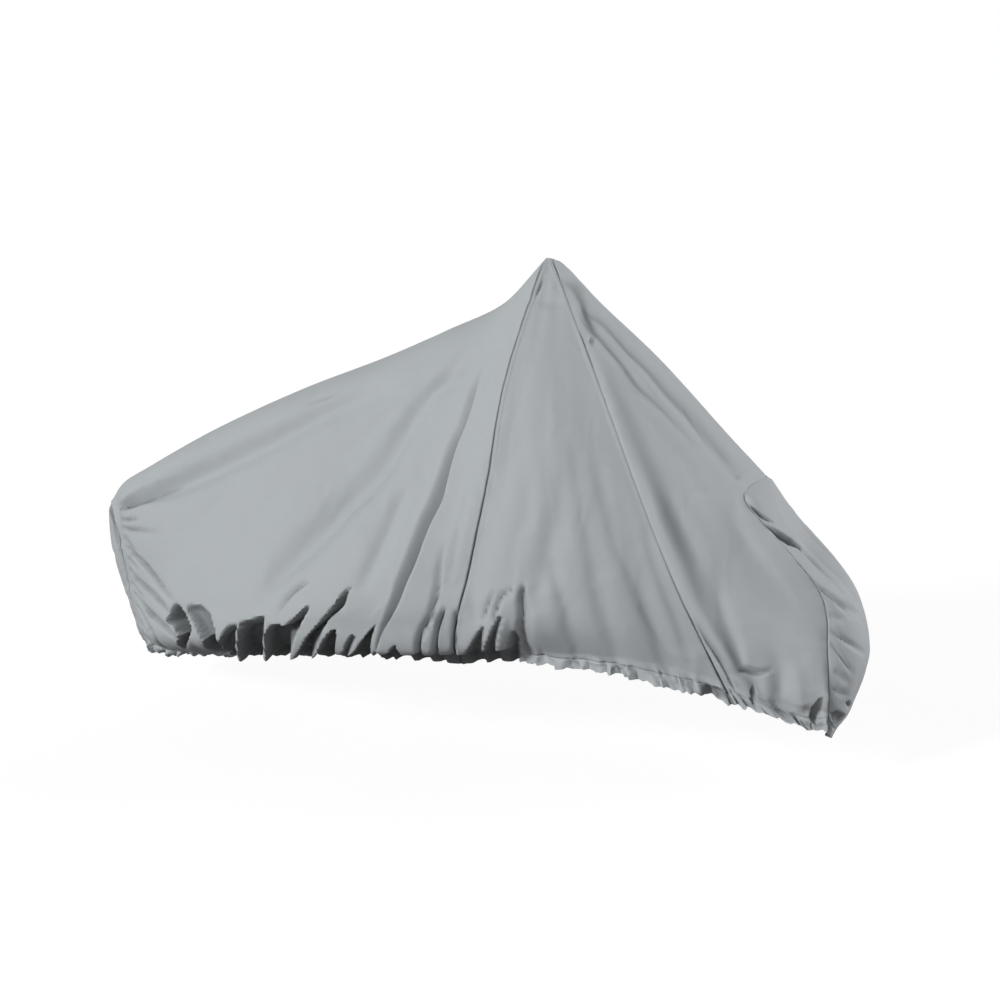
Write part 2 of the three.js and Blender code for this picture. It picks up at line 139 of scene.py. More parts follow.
# Folds seen from the side. Each point of a path is fore, fall, the width on its right hand and on
# its left hand, and the depth. A trough is round, a crease has a sharp bottom, a wall slopes in
# evenly to a sharp bottom, and a negative depth is a ridge.
RIGHT_FOLDS = [
    ("wall", (-1352, 816, 6, 16, 16), (-1320, 804, 6, 26, 34), (-1290, 791, 8, 34, 40),
     (-1226, 759, 14, 38, 30), (-1163, 728, 26, 36, 14), (-1089, 697, 32, 34, 0)),
    ("trough", (-1240, 766, 20, 26, 0), (-1163, 728, 26, 34, 18), (-1089, 697, 28, 36, 27),
     (-949, 628, 30, 38, 26), (-810, 555, 30, 38, 24), (-687, 485, 30, 36, 21), (-566, 412, 28, 34, 18),
     (-504, 369, 26, 30, 15), (-376, 290, 24, 26, 9), (-250, 225, 20, 20, 0)),
    ("wall", (-703, 435, 5, 9, 0), (-634, 407, 5, 11, 5), (-570, 374, 5, 9, 0)),
    ("trough", (-130, 260, 18, 18, 0), (-166, 293, 22, 20, 7), (-253, 338, 28, 26, 14),
     (-303, 385, 32, 28, 20), (-350, 477, 38, 30, 25), (-402, 571, 42, 32, 28), (-480, 655, 44, 34, 31),
     (-567, 751, 44, 34, 30), (-641, 831, 40, 30, 23), (-690, 905, 36, 28, 9), (-720, 950, 34, 28, 0)),
    ("trough", (-376, 344, 20, 20, 6), (-449, 376, 26, 24, 14), (-524, 425, 30, 26, 14),
     (-600, 480, 30, 30, 0)),
    ("trough", (-289, 564, 18, 18, 0), (-313, 638, 24, 20, 12), (-338, 724, 26, 22, 14),
     (-361, 788, 24, 22, 11), (-385, 850, 22, 22, 0)),
    ("wall", (-540, 840, 10, 5, 0), (-556, 851, 16, 5, 10), (-590, 878, 20, 5, 13),
     (-617, 915, 18, 5, 8), (-632, 945, 14, 5, 0)),
    ("wall", (-159, 690, 16, 8, 0), (-160, 762, 18, 6, 7), (-158, 811, 20, 5, 10),
     (-163, 847, 20, 4, 13), (-173, 887, 20, 4, 16), (-191, 920, 20, 4, 20), (-210, 963, 18, 4, 24),
     (-219, 1000, 14, 4, 14)),
    ("wall", (-138, 850, 8, 4, 0), (-141, 870, 13, 4, 14), (-149, 900, 15, 4, 22),
     (-155, 930, 16, 4, 24), (-166, 968, 16, 4, 24), (-182, 1020, 15, 4, 20)),
    ("wall", (-107, 852, 6, 4, 0), (-105, 872, 15, 4, 13), (-107, 910, 17, 4, 14),
     (-112, 950, 17, 4, 16), (-130, 1005, 15, 4, 14)),
    ("trough", (-120, 905, 22, 22, 0), (-128, 950, 26, 20, 5), (-140, 1010, 26, 20, 8)),
    ("trough", (146, 470, 24, 26, 0), (143, 535, 26, 34, 5), (144, 568, 28, 36, 7),
     (137, 628, 30, 38, 10), (130, 690, 30, 38, 10), (120, 754, 28, 34, 8), (109, 803, 24, 28, 4),
     (100, 850, 24, 26, 0)),
    ("trough", (143, 690, 14, 16, 0), (149, 726, 16, 20, 5), (178, 796, 18, 24, 8),
     (197, 872, 20, 24, 8), (211, 929, 20, 24, 6), (220, 980, 20, 20, 0)),
    ("trough", (150, 400, 18, 20, 0), (178, 488, 20, 26, 5), (212, 606, 24, 30, 8),
     (244, 698, 26, 30, 9), (263, 768, 26, 30, 9), (288, 841, 26, 28, 8), (308, 917, 24, 26, 7),
     (322, 975, 22, 24, 2)),
    ("wall", (74, 772, 6, 8, 8), (72, 790, 14, 14, 22), (71, 806, 16, 22, 24), (75, 844, 18, 30, 23),
     (68, 920, 18, 34, 20), (64, 980, 18, 34, 18)),
    ("wall", (50, 782, 8, 5, 0), (43, 789, 11, 5, 7), (19, 808, 14, 5, 10), (8, 841, 14, 5, 11),
     (2, 870, 12, 5, 4)),
    ("wall", (-2, 790, 8, 5, 0), (-8, 808, 11, 5, 6), (-18, 838, 13, 5, 8), (-26, 870, 11, 5, 5)),
    ("trough", (200, 425, 14, 16, 0), (228, 490, 15, 18, 3), (264, 582, 17, 20, 5),
     (299, 663, 17, 20, 6), (321, 704, 17, 20, 7), (366, 789, 17, 20, 7), (409, 890, 18, 20, 7),
     (430, 972, 18, 20, 4), (436, 1004, 16, 18, 0)),
    ("trough", (270, 510, 18, 20, 0), (308, 601, 22, 26, 5), (359, 721, 24, 26, 8),
     (401, 840, 24, 24, 8), (447, 944, 22, 22, 8), (462, 998, 20, 20, 3)),
    ("trough", (350, 610, 12, 14, 0), (374, 660, 14, 14, 4), (421, 764, 15, 15, 5),
     (466, 865, 15, 15, 5), (490, 945, 14, 14, 3), (505, 985, 12, 12, 0)),
    ("wall", (495, 840, 10, 8, 0), (519, 885, 15, 7, 7), (546, 925, 17, 6, 11), (571, 965, 16, 6, 12),
     (600, 1024, 13, 6, 8)),
    ("trough", (505, 740, 18, 20, 0), (530, 800, 22, 22, 8), (559, 866, 24, 20, 11),
     (588, 924, 22, 16, 13), (604, 976, 18, 12, 11), (608, 1000, 16, 12, 0)),
    ("trough", (385, 440, 22, 24, 0), (465, 563, 26, 28, 5), (537, 628, 26, 28, 6),
     (600, 724, 26, 28, 6), (667, 818, 26, 28, 6), (742, 920, 24, 26, 0)),
    ("wall", (100, 100, 9, 9, 0), (126, 125, 13, 12, 6), (182, 170, 16, 13, 9), (236, 220, 17, 13, 10),
     (296, 272, 17, 13, 10), (347, 326, 17, 13, 10), (405, 384, 17, 13, 10), (461, 446, 17, 12, 11),
     (514, 503, 15, 11, 12), (545, 532, 12, 9, 9)),
    ("wall", (90, 90, 9, 9, 0), (133, 151, 16, 13, 8), (177, 197, 18, 14, 9), (239, 258, 18, 15, 9),
     (279, 303, 18, 15, 8), (322, 341, 18, 15, 6), (386, 403, 18, 16, 4), (439, 462, 18, 16, 0)),
    ("trough", (170, 210, 14, 14, 0), (243, 293, 18, 18, 4), (316, 373, 22, 22, 5),
     (374, 443, 24, 24, 5), (425, 507, 24, 24, 5), (516, 628, 26, 26, 0)),
    ("wall", (34, 38, 12, 12, 0), (78, 67, 26, 18, 9), (109, 102, 30, 18, 13), (134, 142, 27, 16, 11),
     (164, 186, 18, 14, 0)),
    ("wall", (147, 180, 3, 5, 0), (151, 191, 3, 7, 9), (154, 204, 3, 4, 0)),
    ("wall", (-1352, 850, 5, 5, 6), (-1318, 840, 6, 7, 10), (-1278, 828, 7, 10, 8),
     (-1235, 818, 8, 10, 0)),
    ("wall", (-1340, 868, 5, 6, 6), (-1300, 861, 7, 9, 11), (-1240, 850, 9, 12, 9),
     (-1176, 842, 10, 12, 3), (-1130, 838, 12, 12, 0)),
    ("wall", (-1322, 893, 5, 8, 8), (-1290, 902, 5, 10, 9), (-1240, 918, 7, 12, 0)),
    ("wall", (-1300, 916, 5, 8, 12), (-1270, 925, 5, 13, 18), (-1207, 944, 6, 16, 19),
     (-1140, 978, 8, 18, 15), (-1075, 1002, 11, 18, 6), (-1040, 1015, 12, 16, 0)),
    ("wall", (-1292, 950, 5, 8, 9), (-1262, 958, 5, 9, 8), (-1225, 970, 6, 9, 0)),
    ("wall", (-1286, 985, 5, 9, 13), (-1262, 994, 5, 12, 20), (-1182, 1014, 6, 16, 20),
     (-1105, 1037, 8, 16, 13), (-1060, 1052, 10, 14, 0)),
    ("wall", (-1278, 1024, 5, 8, 9), (-1250, 1034, 5, 9, 10), (-1205, 1046, 6, 10, 0)),
    ("wall", (-1262, 1054, 5, 9, 13), (-1205, 1069, 5, 14, 22), (-1130, 1088, 6, 17, 24),
     (-1079, 1101, 6, 17, 24), (-1028, 1128, 6, 14, 20), (-1005, 1160, 6, 12, 10)),
    ("wall", (-1254, 1090, 5, 8, 11), (-1192, 1116, 5, 12, 19), (-1155, 1137, 6, 14, 19),
     (-1138, 1190, 6, 12, 12)),
    ("wall", (-1240, 1140, 5, 8, 10), (-1205, 1158, 6, 10, 13), (-1180, 1195, 6, 10, 8)),
    ("wall", (600, 985, 5, 12, 0), (618, 993, 5, 19, 14), (645, 1001, 5, 20, 16), (673, 992, 5, 16, 9),
     (690, 980, 6, 12, 0)),
    ("wall", (636, 1024, 8, 4, 0), (641, 1042, 13, 4, 16), (640, 1070, 14, 4, 16)),
    ("trough", (667, 1004, 22, 24, -5), (670, 1060, 24, 26, -12)),
    ("trough", (742, 952, 24, 22, -2), (750, 1000, 26, 22, -12), (760, 1070, 26, 22, -15)),
    ("trough", (660, 870, 26, 26, 0), (666, 902, 26, 28, 4), (692, 960, 24, 24, 6),
     (708, 1038, 20, 18, 7)),
    ("wall", (6, 44, 4, 3, 0), (1, 56, 5, 3, 6), (-5, 78, 5, 3, 6), (-9, 88, 4, 3, 0)),
    ("trough", (-60, 104, 10, 12, 0), (-5, 96, 10, 14, 4), (45, 102, 10, 14, 5), (92, 98, 10, 12, 0)),
    ("trough", (-85, 175, 14, 14, 0), (-128, 300, 18, 18, 6), (-160, 420, 20, 20, 0)),
    ("trough", (-165, 190, 14, 14, 0), (-230, 290, 20, 18, 7), (-290, 370, 20, 20, 0)),
    ("trough", (-230, 230, 16, 16, 0), (-425, 435, 28, 26, 7), (-600, 640, 34, 34, 0)),
    ("trough", (-100, 520, 10, 10, 0), (-118, 640, 12, 10, 3), (-128, 760, 12, 10, 2),
     (-136, 820, 12, 12, 0)),
    ("trough", (-14, 380, 18, 18, 0), (-10, 500, 22, 22, 3), (-10, 600, 24, 24, 3),
     (-20, 740, 26, 26, 0)),
    ("trough", (100, 440, 20, 20, 0), (112, 520, 22, 22, 3), (120, 600, 20, 20, 0)),
    ("trough", (56, 460, 20, 20, 0), (62, 600, 22, 22, 4), (50, 700, 20, 20, 0)),
    ("trough", (-30, 900, 16, 16, 0), (-60, 850, 16, 14, 5), (-66, 780, 16, 14, 0)),
    ("trough", (520, 600, 14, 14, 0), (600, 690, 18, 17, 4), (690, 800, 20, 18, 4),
     (750, 900, 20, 20, 0)),
    ("trough", (385, 470, 30, 34, 0), (432, 550, 34, 40, -7), (482, 650, 36, 42, -9),
     (516, 730, 34, 40, -7), (545, 800, 30, 34, 0)),
    ("trough", (-860, 640, 20, 20, 0), (-960, 740, 26, 26, 4), (-1080, 860, 30, 30, 0)),
    ("trough", (-640, 560, 20, 20, 0), (-760, 700, 28, 28, 5), (-850, 830, 30, 30, 0)),
]
LEFT_FOLDS = [
    ("trough", (-1325, 812, 18, 12, 10), (-1230, 760, 26, 18, 20), (-1060, 685, 40, 32, 16),
     (-860, 600, 50, 46, 10), (-650, 500, 50, 50, 0)),
    ("trough", (-150, 300, 26, 22, 0), (-235, 440, 40, 34, 14), (-380, 620, 52, 44, 15),
     (-560, 800, 56, 50, 10), (-690, 930, 50, 50, 0)),
    ("trough", (-330, 300, 26, 26, 0), (-520, 420, 40, 34, 10), (-760, 560, 50, 46, 0)),
    ("trough", (-420, 560, 26, 22, 0), (-560, 690, 34, 28, 8), (-720, 800, 36, 36, 0)),
    ("crease", (-10, 520, 10, 28, 0), (-20, 690, 9, 32, 14), (-12, 860, 9, 30, 18),
     (-30, 990, 12, 22, 8)),
    ("trough", (90, 430, 30, 30, 0), (130, 600, 38, 34, 10), (165, 780, 34, 30, 10),
     (190, 930, 26, 26, 0)),
    ("trough", (200, 480, 26, 26, 0), (275, 640, 32, 28, 8), (345, 820, 30, 26, 9),
     (390, 990, 26, 26, 0)),
    ("trough", (300, 520, 26, 26, 0), (400, 680, 32, 26, 9), (480, 850, 30, 26, 9),
     (535, 1010, 26, 26, 0)),
    ("trough", (360, 420, 26, 26, 0), (455, 555, 32, 28, 9), (570, 720, 32, 28, 8),
     (640, 860, 30, 30, 0)),
    ("trough", (100, 95, 14, 12, 0), (250, 240, 22, 18, 7), (420, 410, 26, 20, 9),
     (520, 505, 22, 18, 3)),
    ("trough", (50, 120, 12, 14, 0), (170, 290, 24, 24, 6), (300, 450, 30, 30, 0)),
    ("crease", (80, 800, 16, 12, 0), (110, 890, 20, 10, 12), (95, 1000, 22, 10, 14)),
    ("crease", (10, 860, 14, 8, 0), (-5, 930, 16, 8, 10), (-40, 1015, 16, 8, 12)),
    ("crease", (-330, 760, 24, 10, 0), (-380, 880, 28, 10, 14), (-430, 1000, 26, 12, 14)),
    ("trough", (-1305, 870, 12, 10, 5), (-1210, 862, 18, 14, 6), (-1120, 860, 24, 20, 0)),
    ("trough", (-1280, 930, 12, 12, 6), (-1180, 950, 20, 16, 8), (-1060, 960, 24, 24, 0)),
    ("crease", (-1250, 1010, 8, 12, 6), (-1150, 1050, 10, 16, 9), (-1060, 1075, 10, 20, 4)),
    ("crease", (-1210, 1080, 8, 12, 6), (-1120, 1120, 8, 16, 9), (-1050, 1150, 8, 16, 4)),
    ("trough", (620, 900, 14, 14, 0), (655, 960, 16, 14, 8), (690, 1030, 14, 14, 0)),
    ("trough", (-60, 170, 16, 16, 0), (-130, 300, 24, 24, 6), (-175, 430, 26, 26, 0)),
    ("trough", (-190, 210, 16, 16, 0), (-300, 360, 28, 26, 7), (-400, 480, 30, 30, 0)),
    ("trough", (10, 180, 16, 16, 0), (40, 380, 28, 28, 5), (60, 560, 30, 30, 0)),
]

# Where the cloth is turned under between the gathers. Each outline is a list of fore, fall.
RIGHT_POCKETS = [
    (70, [(-1046, 1012), (-1062, 1038), (-1082, 1072), (-1040, 1076), (-1022, 1098), (-1044, 1146),
     (-1040, 1164), (-1012, 1160), (-970, 1092), (-958, 1054), (-996, 1026), (-1030, 1008)]),
    (36, [(-980, 996), (-984, 1016), (-940, 1040), (-908, 1080), (-924, 1128), (-920, 1150),
     (-850, 1140), (-838, 1084), (-856, 1034), (-884, 996), (-928, 982)]),
    (60, [(-774, 994), (-806, 1006), (-822, 1030), (-862, 1115), (-880, 1220), (-812, 1220),
     (-788, 1104), (-776, 1045)]),
    (72, [(-760, 986), (-674, 947), (-678, 1033), (-712, 1092), (-716, 1200), (-800, 1200),
     (-776, 1100), (-764, 1040)]),
    (72, [(-668, 1002), (-648, 968), (-600, 964), (-560, 924), (-532, 897), (-534, 916), (-552, 948),
     (-560, 968), (-612, 1060), (-628, 1180), (-706, 1180), (-690, 1085), (-672, 1040)]),
    (62, [(-405, 826), (-430, 853), (-450, 885), (-492, 936), (-538, 987), (-590, 1045), (-612, 1170),
     (-560, 1160), (-545, 1052), (-498, 985), (-482, 952), (-466, 925), (-427, 887), (-410, 840)]),
    (60, [(-449, 944), (-472, 967), (-534, 1043), (-548, 1160), (-496, 1150), (-484, 1060),
     (-464, 1026), (-444, 968)]),
    (32, [(-416, 975), (-399, 955), (-386, 964), (-430, 1026), (-440, 1150), (-478, 1150),
     (-466, 1058)]),
    (60, [(-330, 922), (-347, 941), (-375, 971), (-413, 1012), (-432, 1060), (-440, 1150), (-376, 1140),
     (-356, 1020), (-350, 979), (-338, 949)]),
    (34, [(-340, 984), (-350, 1010), (-362, 1130), (-338, 1130), (-330, 1030)]),
    (44, [(-280, 960), (-300, 990), (-328, 1016), (-336, 1130), (-280, 1120), (-278, 1040),
     (-272, 990)]),
    (34, [(-226, 982), (-246, 1012), (-264, 1035), (-268, 1110), (-226, 1110), (-224, 1040),
     (-220, 1000)]),
    (22, [(-196, 1000), (-206, 1040), (-205, 1100), (-180, 1100), (-184, 1040)]),
    (34, [(-22, 876), (-50, 913), (-84, 962), (-106, 1014), (-108, 1080), (-72, 1080), (-58, 1000),
     (-38, 946)]),
    (34, [(17, 848), (-9, 900), (-36, 955), (-50, 1000), (-54, 1080), (-24, 1080), (-14, 990), (4, 923),
     (24, 860)]),
    (28, [(52, 886), (38, 918), (14, 985), (10, 1070), (36, 1070), (42, 985), (58, 921)]),
    (26, [(510, 1036), (528, 1010), (562, 1014), (592, 1032), (560, 1048), (520, 1044)]),
    (26, [(772, 1124), (780, 1086), (796, 1066), (806, 1072), (804, 1108), (784, 1150)]),
]
LEFT_POCKETS = [
    (26, [(-1080, 1060), (-1040, 1025), (-985, 1060), (-1000, 1240), (-1080, 1240)]),
    (22, [(-930, 990), (-870, 1000), (-880, 1120), (-900, 1230), (-960, 1230)]),
    (32, [(-835, 985), (-745, 960), (-752, 1060), (-770, 1210), (-850, 1210)]),
    (34, [(-700, 960), (-610, 905), (-650, 1010), (-672, 1190), (-735, 1190), (-715, 1060)]),
    (30, [(-560, 930), (-500, 880), (-520, 980), (-560, 1060), (-570, 1170), (-640, 1170),
     (-610, 1040)]),
    (28, [(-450, 900), (-430, 1010), (-440, 1150), (-510, 1150), (-500, 1030)]),
    (22, [(-300, 940), (-300, 1040), (-305, 1140), (-370, 1140), (-345, 1030)]),
    (18, [(-215, 970), (-215, 1040), (-215, 1130), (-260, 1130), (-250, 1040)]),
]

# Narrow ridges of taut cloth that run down between the pockets to the hem.
RIGHT_FINGERS = [
    ("trough", (-766, 1000, 9, 8, 0), (-772, 1060, 8, 7, -6), (-786, 1110, 8, 7, -20),
     (-800, 1160, 8, 8, -22)),
    ("trough", (-672, 960, 8, 8, 0), (-676, 1040, 8, 8, -7), (-700, 1095, 9, 8, -22),
     (-712, 1150, 9, 8, -24)),
    ("trough", (-556, 965, 12, 12, 0), (-590, 1035, 13, 12, -8), (-618, 1080, 13, 12, -20),
     (-622, 1130, 12, 10, -22)),
    ("trough", (-482, 965, 14, 10, 0), (-520, 1020, 12, 10, -8), (-550, 1062, 11, 9, -20),
     (-556, 1120, 11, 9, -22)),
    ("trough", (-380, 985, 14, 12, 0), (-440, 1035, 12, 10, -10), (-484, 1075, 12, 10, -18)),
    ("trough", (-855, 1060, 18, 14, 0), (-868, 1120, 16, 12, -12), (-880, 1180, 14, 12, -16)),
    ("trough", (-965, 1070, 16, 14, 0), (-985, 1130, 16, 12, -14), (-990, 1190, 14, 12, -18)),
    ("trough", (-344, 985, 9, 8, 0), (-360, 1040, 9, 8, -14), (-372, 1080, 9, 8, -18)),
]
LEFT_FINGERS = [
    ("trough", (-968, 1060, 14, 12, 0), (-975, 1140, 12, 10, -16), (-985, 1210, 12, 10, -20)),
    ("trough", (-862, 1020, 12, 10, 0), (-866, 1120, 10, 9, -18), (-872, 1200, 10, 9, -24)),
    ("trough", (-735, 990, 12, 10, 0), (-745, 1090, 10, 9, -22), (-752, 1180, 10, 9, -30)),
    ("trough", (-600, 950, 16, 12, 0), (-650, 1060, 12, 10, -22), (-660, 1160, 11, 10, -28)),
    ("trough", (-480, 920, 14, 12, 0), (-520, 1050, 12, 10, -18), (-530, 1130, 11, 10, -24)),
]

# Folds of the gussets, seen face on: across from the middle line to the left, and fall.
NOSE_FOLDS = [
    ("trough", (-70, 700, 10, 10, 5), (-58, 730, 12, 14, 10), (-60, 760, 14, 16, 9),
     (-50, 800, 16, 18, 7), (-10, 840, 18, 18, 5), (30, 866, 18, 18, 0)),
    ("wall", (-132, 792, 5, 8, 6), (-124, 806, 6, 13, 9), (-108, 832, 8, 15, 8), (-80, 868, 10, 14, 4),
     (-60, 890, 10, 12, 0)),
    ("trough", (-110, 826, 9, 10, 0), (-89, 848, 11, 12, 7), (-45, 876, 12, 13, 7),
     (-3, 904, 13, 13, 0)),
    ("wall", (-158, 898, 6, 8, 6), (-140, 918, 7, 13, 9), (-106, 945, 9, 14, 9), (-65, 972, 10, 14, 5),
     (-30, 990, 12, 12, 0)),
    ("wall", (-166, 934, 6, 8, 6), (-150, 962, 7, 12, 8), (-126, 1002, 8, 12, 6),
     (-100, 1030, 10, 10, 0)),
    ("trough", (-152, 860, 6, 7, 4), (-130, 870, 8, 9, 5), (-100, 880, 9, 10, 0)),
    ("trough", (-160, 1010, 7, 8, 5), (-140, 1030, 9, 10, 5), (-110, 1052, 10, 10, 0)),
    ("trough", (-158, 1060, 7, 8, 5), (-135, 1074, 9, 10, 5), (-105, 1086, 10, 10, 0)),
    ("trough", (-30, 640, 14, 14, 0), (-8, 760, 18, 18, 5), (0, 900, 20, 20, 0)),
    ("trough", (60, 620, 12, 14, 0), (74, 720, 14, 18, 7), (60, 850, 20, 20, 0)),
    ("trough", (150, 880, 14, 14, 6), (100, 940, 18, 16, 8), (50, 1010, 20, 20, 0)),
    ("trough", (145, 1010, 12, 12, 6), (95, 1060, 14, 14, 7), (50, 1100, 18, 18, 0)),
    ("trough", (20, 960, 18, 18, 0), (10, 1080, 22, 20, 7), (0, 1180, 20, 20, 3)),
]
# Slits where the gusset's edge is turned in, as outlines of across and fall.
NOSE_SLITS = [
    (30, [(-119, 588), (-123, 604), (-124, 622), (-112, 634), (-98, 636), (-106, 624), (-113, 604)]),
    (48, [(-126, 636), (-127, 662), (-114, 686), (-76, 706), (-50, 714), (-68, 690), (-100, 660)]),
    (20, [(-158, 1128), (-138, 1116), (-100, 1136), (-66, 1158), (-80, 1176), (-104, 1186),
     (-140, 1160)]),
    (18, [(-120, 1100), (-96, 1098), (-64, 1122), (-56, 1138), (-84, 1130)]),
]
BACK_FOLDS = [
    ("trough", (-80, 960, 10, 12, 5), (-40, 1000, 14, 14, 6), (0, 1040, 16, 16, 0)),
    ("trough", (85, 1000, 12, 10, 5), (45, 1050, 14, 14, 7), (5, 1090, 16, 16, 0)),
    ("trough", (-100, 1090, 10, 12, 5), (-55, 1130, 14, 14, 6), (-10, 1170, 16, 16, 0)),
    ("trough", (10, 880, 12, 12, 0), (16, 980, 14, 14, 5), (8, 1080, 16, 16, 0)),
]

POCKET_SLOPE = 3.2  # how steeply the cloth turns in at a pocket's edge
DEEP_POCKET = 50.0  # shallower pockets slope in more gently
POCKET_TOP = 0.6  # share of its depth that a pocket has right at its top
POCKET_FALL = 60.0  # and the distance below its top where it is full
POCKET_HEM = 0.8  # share of its depth left at the hem
PATH_STEPS = 5  # straight steps between two points of a fold's path
FOLD_REACH = 3.2  # a fold is worked out this many widths to each side

# Slack cloth: it waves round a centre this far above the peak, by these depths, and is calmer high up.
SLACK_CENTRE = 160.0
SLACK_BROAD = 4.5
SLACK_FINE = 2.4
SLACK_PATCHES = 2.0
SLACK_CRUMPLES = 1.9
SLACK_HIGH = 0.3  # share of the waves down to this fall, and how much lower they are full
SLACK_FALL = 150.0
SLACK_SPAN = 380.0

# Gathers run up from the elastic. Their widths, lengths, depths and slants are random within limits.
GATHERS = 230
GUSSET_GATHERS = 26
GATHER_WIDTHS = (5, 11)
GATHER_LENGTHS = (25, 110)
GATHER_SHARES = (0.5, 1.3)
GATHER_DEPTHS = (2, 6)
GATHER_DRIFT = 0.35
GATHER_REACH = 60

# Seams: how deep the cloth dips at each, and how much it puckers there.
SEAMS = {"rear": (5.0, 0.8), "fore": (7.0, 0.6), "nose": (2.4, 1.5), "back": (3.4, 3.0)}
ENDS = ("back", "nose")  # seams with the gussets
TIGHT = 2.5  # reach of the dip where the allowance lies under the cloth
WIDE = 7.0  # and where it doesn't
BAND = (7.0, 8.0, 1.2)  # the allowance: distance of its middle from the seam, half width and height
SEWN_REACH = 15.0  # a gusset's edge is drawn to the panel's edge over this distance
SEAM_EDGE_STEPS = (1.4, 3.6, 7.0)  # columns close to a seam, in millimetres from it
REAR_SPACING = ((0, 6.2), (1.5, 6.2), (2.2, 7.8), (5.8, 7.8), (6.4, 4.6), (8, 4.6))  # at these places

# The hem, with heights above its edge and distances along it from the origin.
CASING = 33.0  # height of the folded hem
CASING_DEPTH = 4.5  # from the casing's outer side to its inner one
TURNED_ROWS = 5  # rows of the casing's inner side
EDGE_DROP = 0.35  # how far its lower edge hangs below the last row, as a share of a row
HEM_SPAN = (-1240, 820)  # from the back seam to the nose seam
FRONT_RUFFLES = 5.0  # the casing is ruffled from here forwards
REAR_RUFFLES = -825.0  # and from here to the rear
RUFFLE_START = 60.0  # distance over which the ruffles begin
STITCHED_LINE = 4.0  # depths of the casing's stitched line and of its ruffles
RUFFLE = 5.5
BROAD_RUFFLE = 4.0
FRILL = 30.0  # how far the casing stands out at the rear corner, in ruffles and evenly
REAR_FLARE = 12.0
PUFFS = 15.0  # how far the casing puffs out between its sharp creases in front
PUFF_MIDDLE = 0.35
FRONT_FLARE = 30.0  # how far the casing stands out in front, below this height
FLARE_TOP = 62.0
TAUT = 36.0  # how far the taut cloth stands out above the hem before it turns under
TAUT_TOP = 236.0  # height where that starts
UNDER_TURN = 92.0  # height below which the taut cloth turns under, to the hem
HEM_JAG = 4.2  # how unevenly the ruffled hem hangs, and how much higher it is in front and behind
FRONT_LIFT = 9.0
FRONT_LIFT_END = 520.0
REAR_LIFT = 4.0
TIP_RISE = 15.0  # how much higher the hem lies at the nose, from here forwards
TIP_START = 745.0
LEVEL_FROM = 50.0  # below this height the cloth's relief points level, and above it ever less
LEVEL_SPAN = 180.0
GUSSET_SLACK = 2.6  # the gussets' waves, stitched line and ruffles
GUSSET_STITCHED_LINE = 2.6
GUSSET_RUFFLE = 4.0
STITCH_PITCH = 6.5  # the stitches that close the casing: their distance, size and lift
STITCH_SIZE = (4.6, 1.1, 0.9)
STITCH_LIFT = 0.3
HEM_GRIDS = {}  # the grids of the panels' hems, for the stitches

# Painted shade: how much the cloth's colour is darkened in places that light hardly reaches.
DARK_DEPTH = 52.0  # depth at which the turned-in cloth is darkest
DARK_EDGE = 7.0  # and depth at which it gets dark beside a gather
DARK_START = 0.6  # how dark it is there
DARK_BESIDE = 0.85  # share of it that the column beside has
PLEAT_DARK = 0.34  # how dark the sharpest fold's sloping side is, from this depth on
PLEAT_DEPTH = 10.0
CREASE_DARK = 0.5  # how dark a sharp crease's bottom is, from this depth on and within this reach
CREASE_DEPTH = 9.0
CREASE_REACH = 5.0
SEAM_DARK = 0.95  # how dark the cloth is right at a side's seams, and how that falls off
SEAM_DARK_START = 1.6
SEAM_DARK_REACH = 3.2
END_SEAM_OFF = 9.0  # the seams with the gussets are lighter, as if this much further off

# Rows this far apart up to these heights above the hem.
TOP = 9999.0
RIGHT_ROWS = ((4.5, 34.0), (5.4, 240.0), (10.0, TOP))
LEFT_ROWS = ((6.0, 34.0), (8.0, 200.0), (15.0, TOP))
SHARP_TURN = 0.95  # a turn of the cloth above this angle is shaded as a sharp crease
INSIDE = (-100, 0, -700)  # a point under the cover
BELLY = 3.5  # station at which a panel's columns are evenly apart

# The cloth's look, and the stage's.
# The weave's threads are darker at their edges than on top: painted shade between the threads.
THREAD_LIGHT = 0.10  # how much lighter a thread's top is than its edges
THREAD_DARK = 0.93
ROUGH_SPREAD = 0.12
FLOOR_GLOW = 1.16  # the floor's own brightness where the camera sees it, and its share
FLOOR_GLOW_SHARE = 0.86
FLOOR_UNDER = (0.16, 0.16, 0.16, 1.0)  # the floor as the cover's underside sees it
SKY_HEIGHTS = (0.25, 0.7)  # the level light fades between these heights of the sky, to this share
SKY_ABOVE = 0.12


def spline(rows, places):
    """Points of a smooth curve through rows, whose first and last one only set the slope at the ends."""
    spans = len(rows) - 3
    places = np.clip(places, 0, spans)
    span = np.minimum(places.astype(int), spans - 1)
    t = (places - span).reshape((-1,) + (1,) * (rows.ndim - 1))
    a, b, c, d = (rows[span + step] for step in range(4))
    bend = 2 * a - 5 * b + 4 * c - d
    twist = -a + 3 * b - 3 * c + d
    return 0.5 * (2 * b + (c - a) * t + bend * t**2 + twist * t**3)


def with_ends(rows):
    """The rows with one more at each end, straight on."""
    rows = np.asarray(rows, float)
    return np.concatenate([[2 * rows[0] - rows[1]], rows, [2 * rows[-1] - rows[-2]]])


def section_stations(top, outs, foot, bow):
    """Fore, out and fall of a section at every station."""
    top, foot = np.array(top), np.array(foot)
    seen = top + (foot - top) * FALL_SHARES[:, None]
    seen[:, 0] += bow * 4 * FALL_SHARES * (1 - FALL_SHARES)
    return np.stack([seen[:, 0], [0, *outs], seen[:, 1]], axis=1)


NET = np.array([BACK_SEAM, *(section_stations(*row) for row in SECTIONS.values()), BROW, NOSE_SEAM], float)
for seam, drift in SEAM_DRIFT.items():
    NET[1 + list(SECTIONS).index(seam), :, 0] += drift


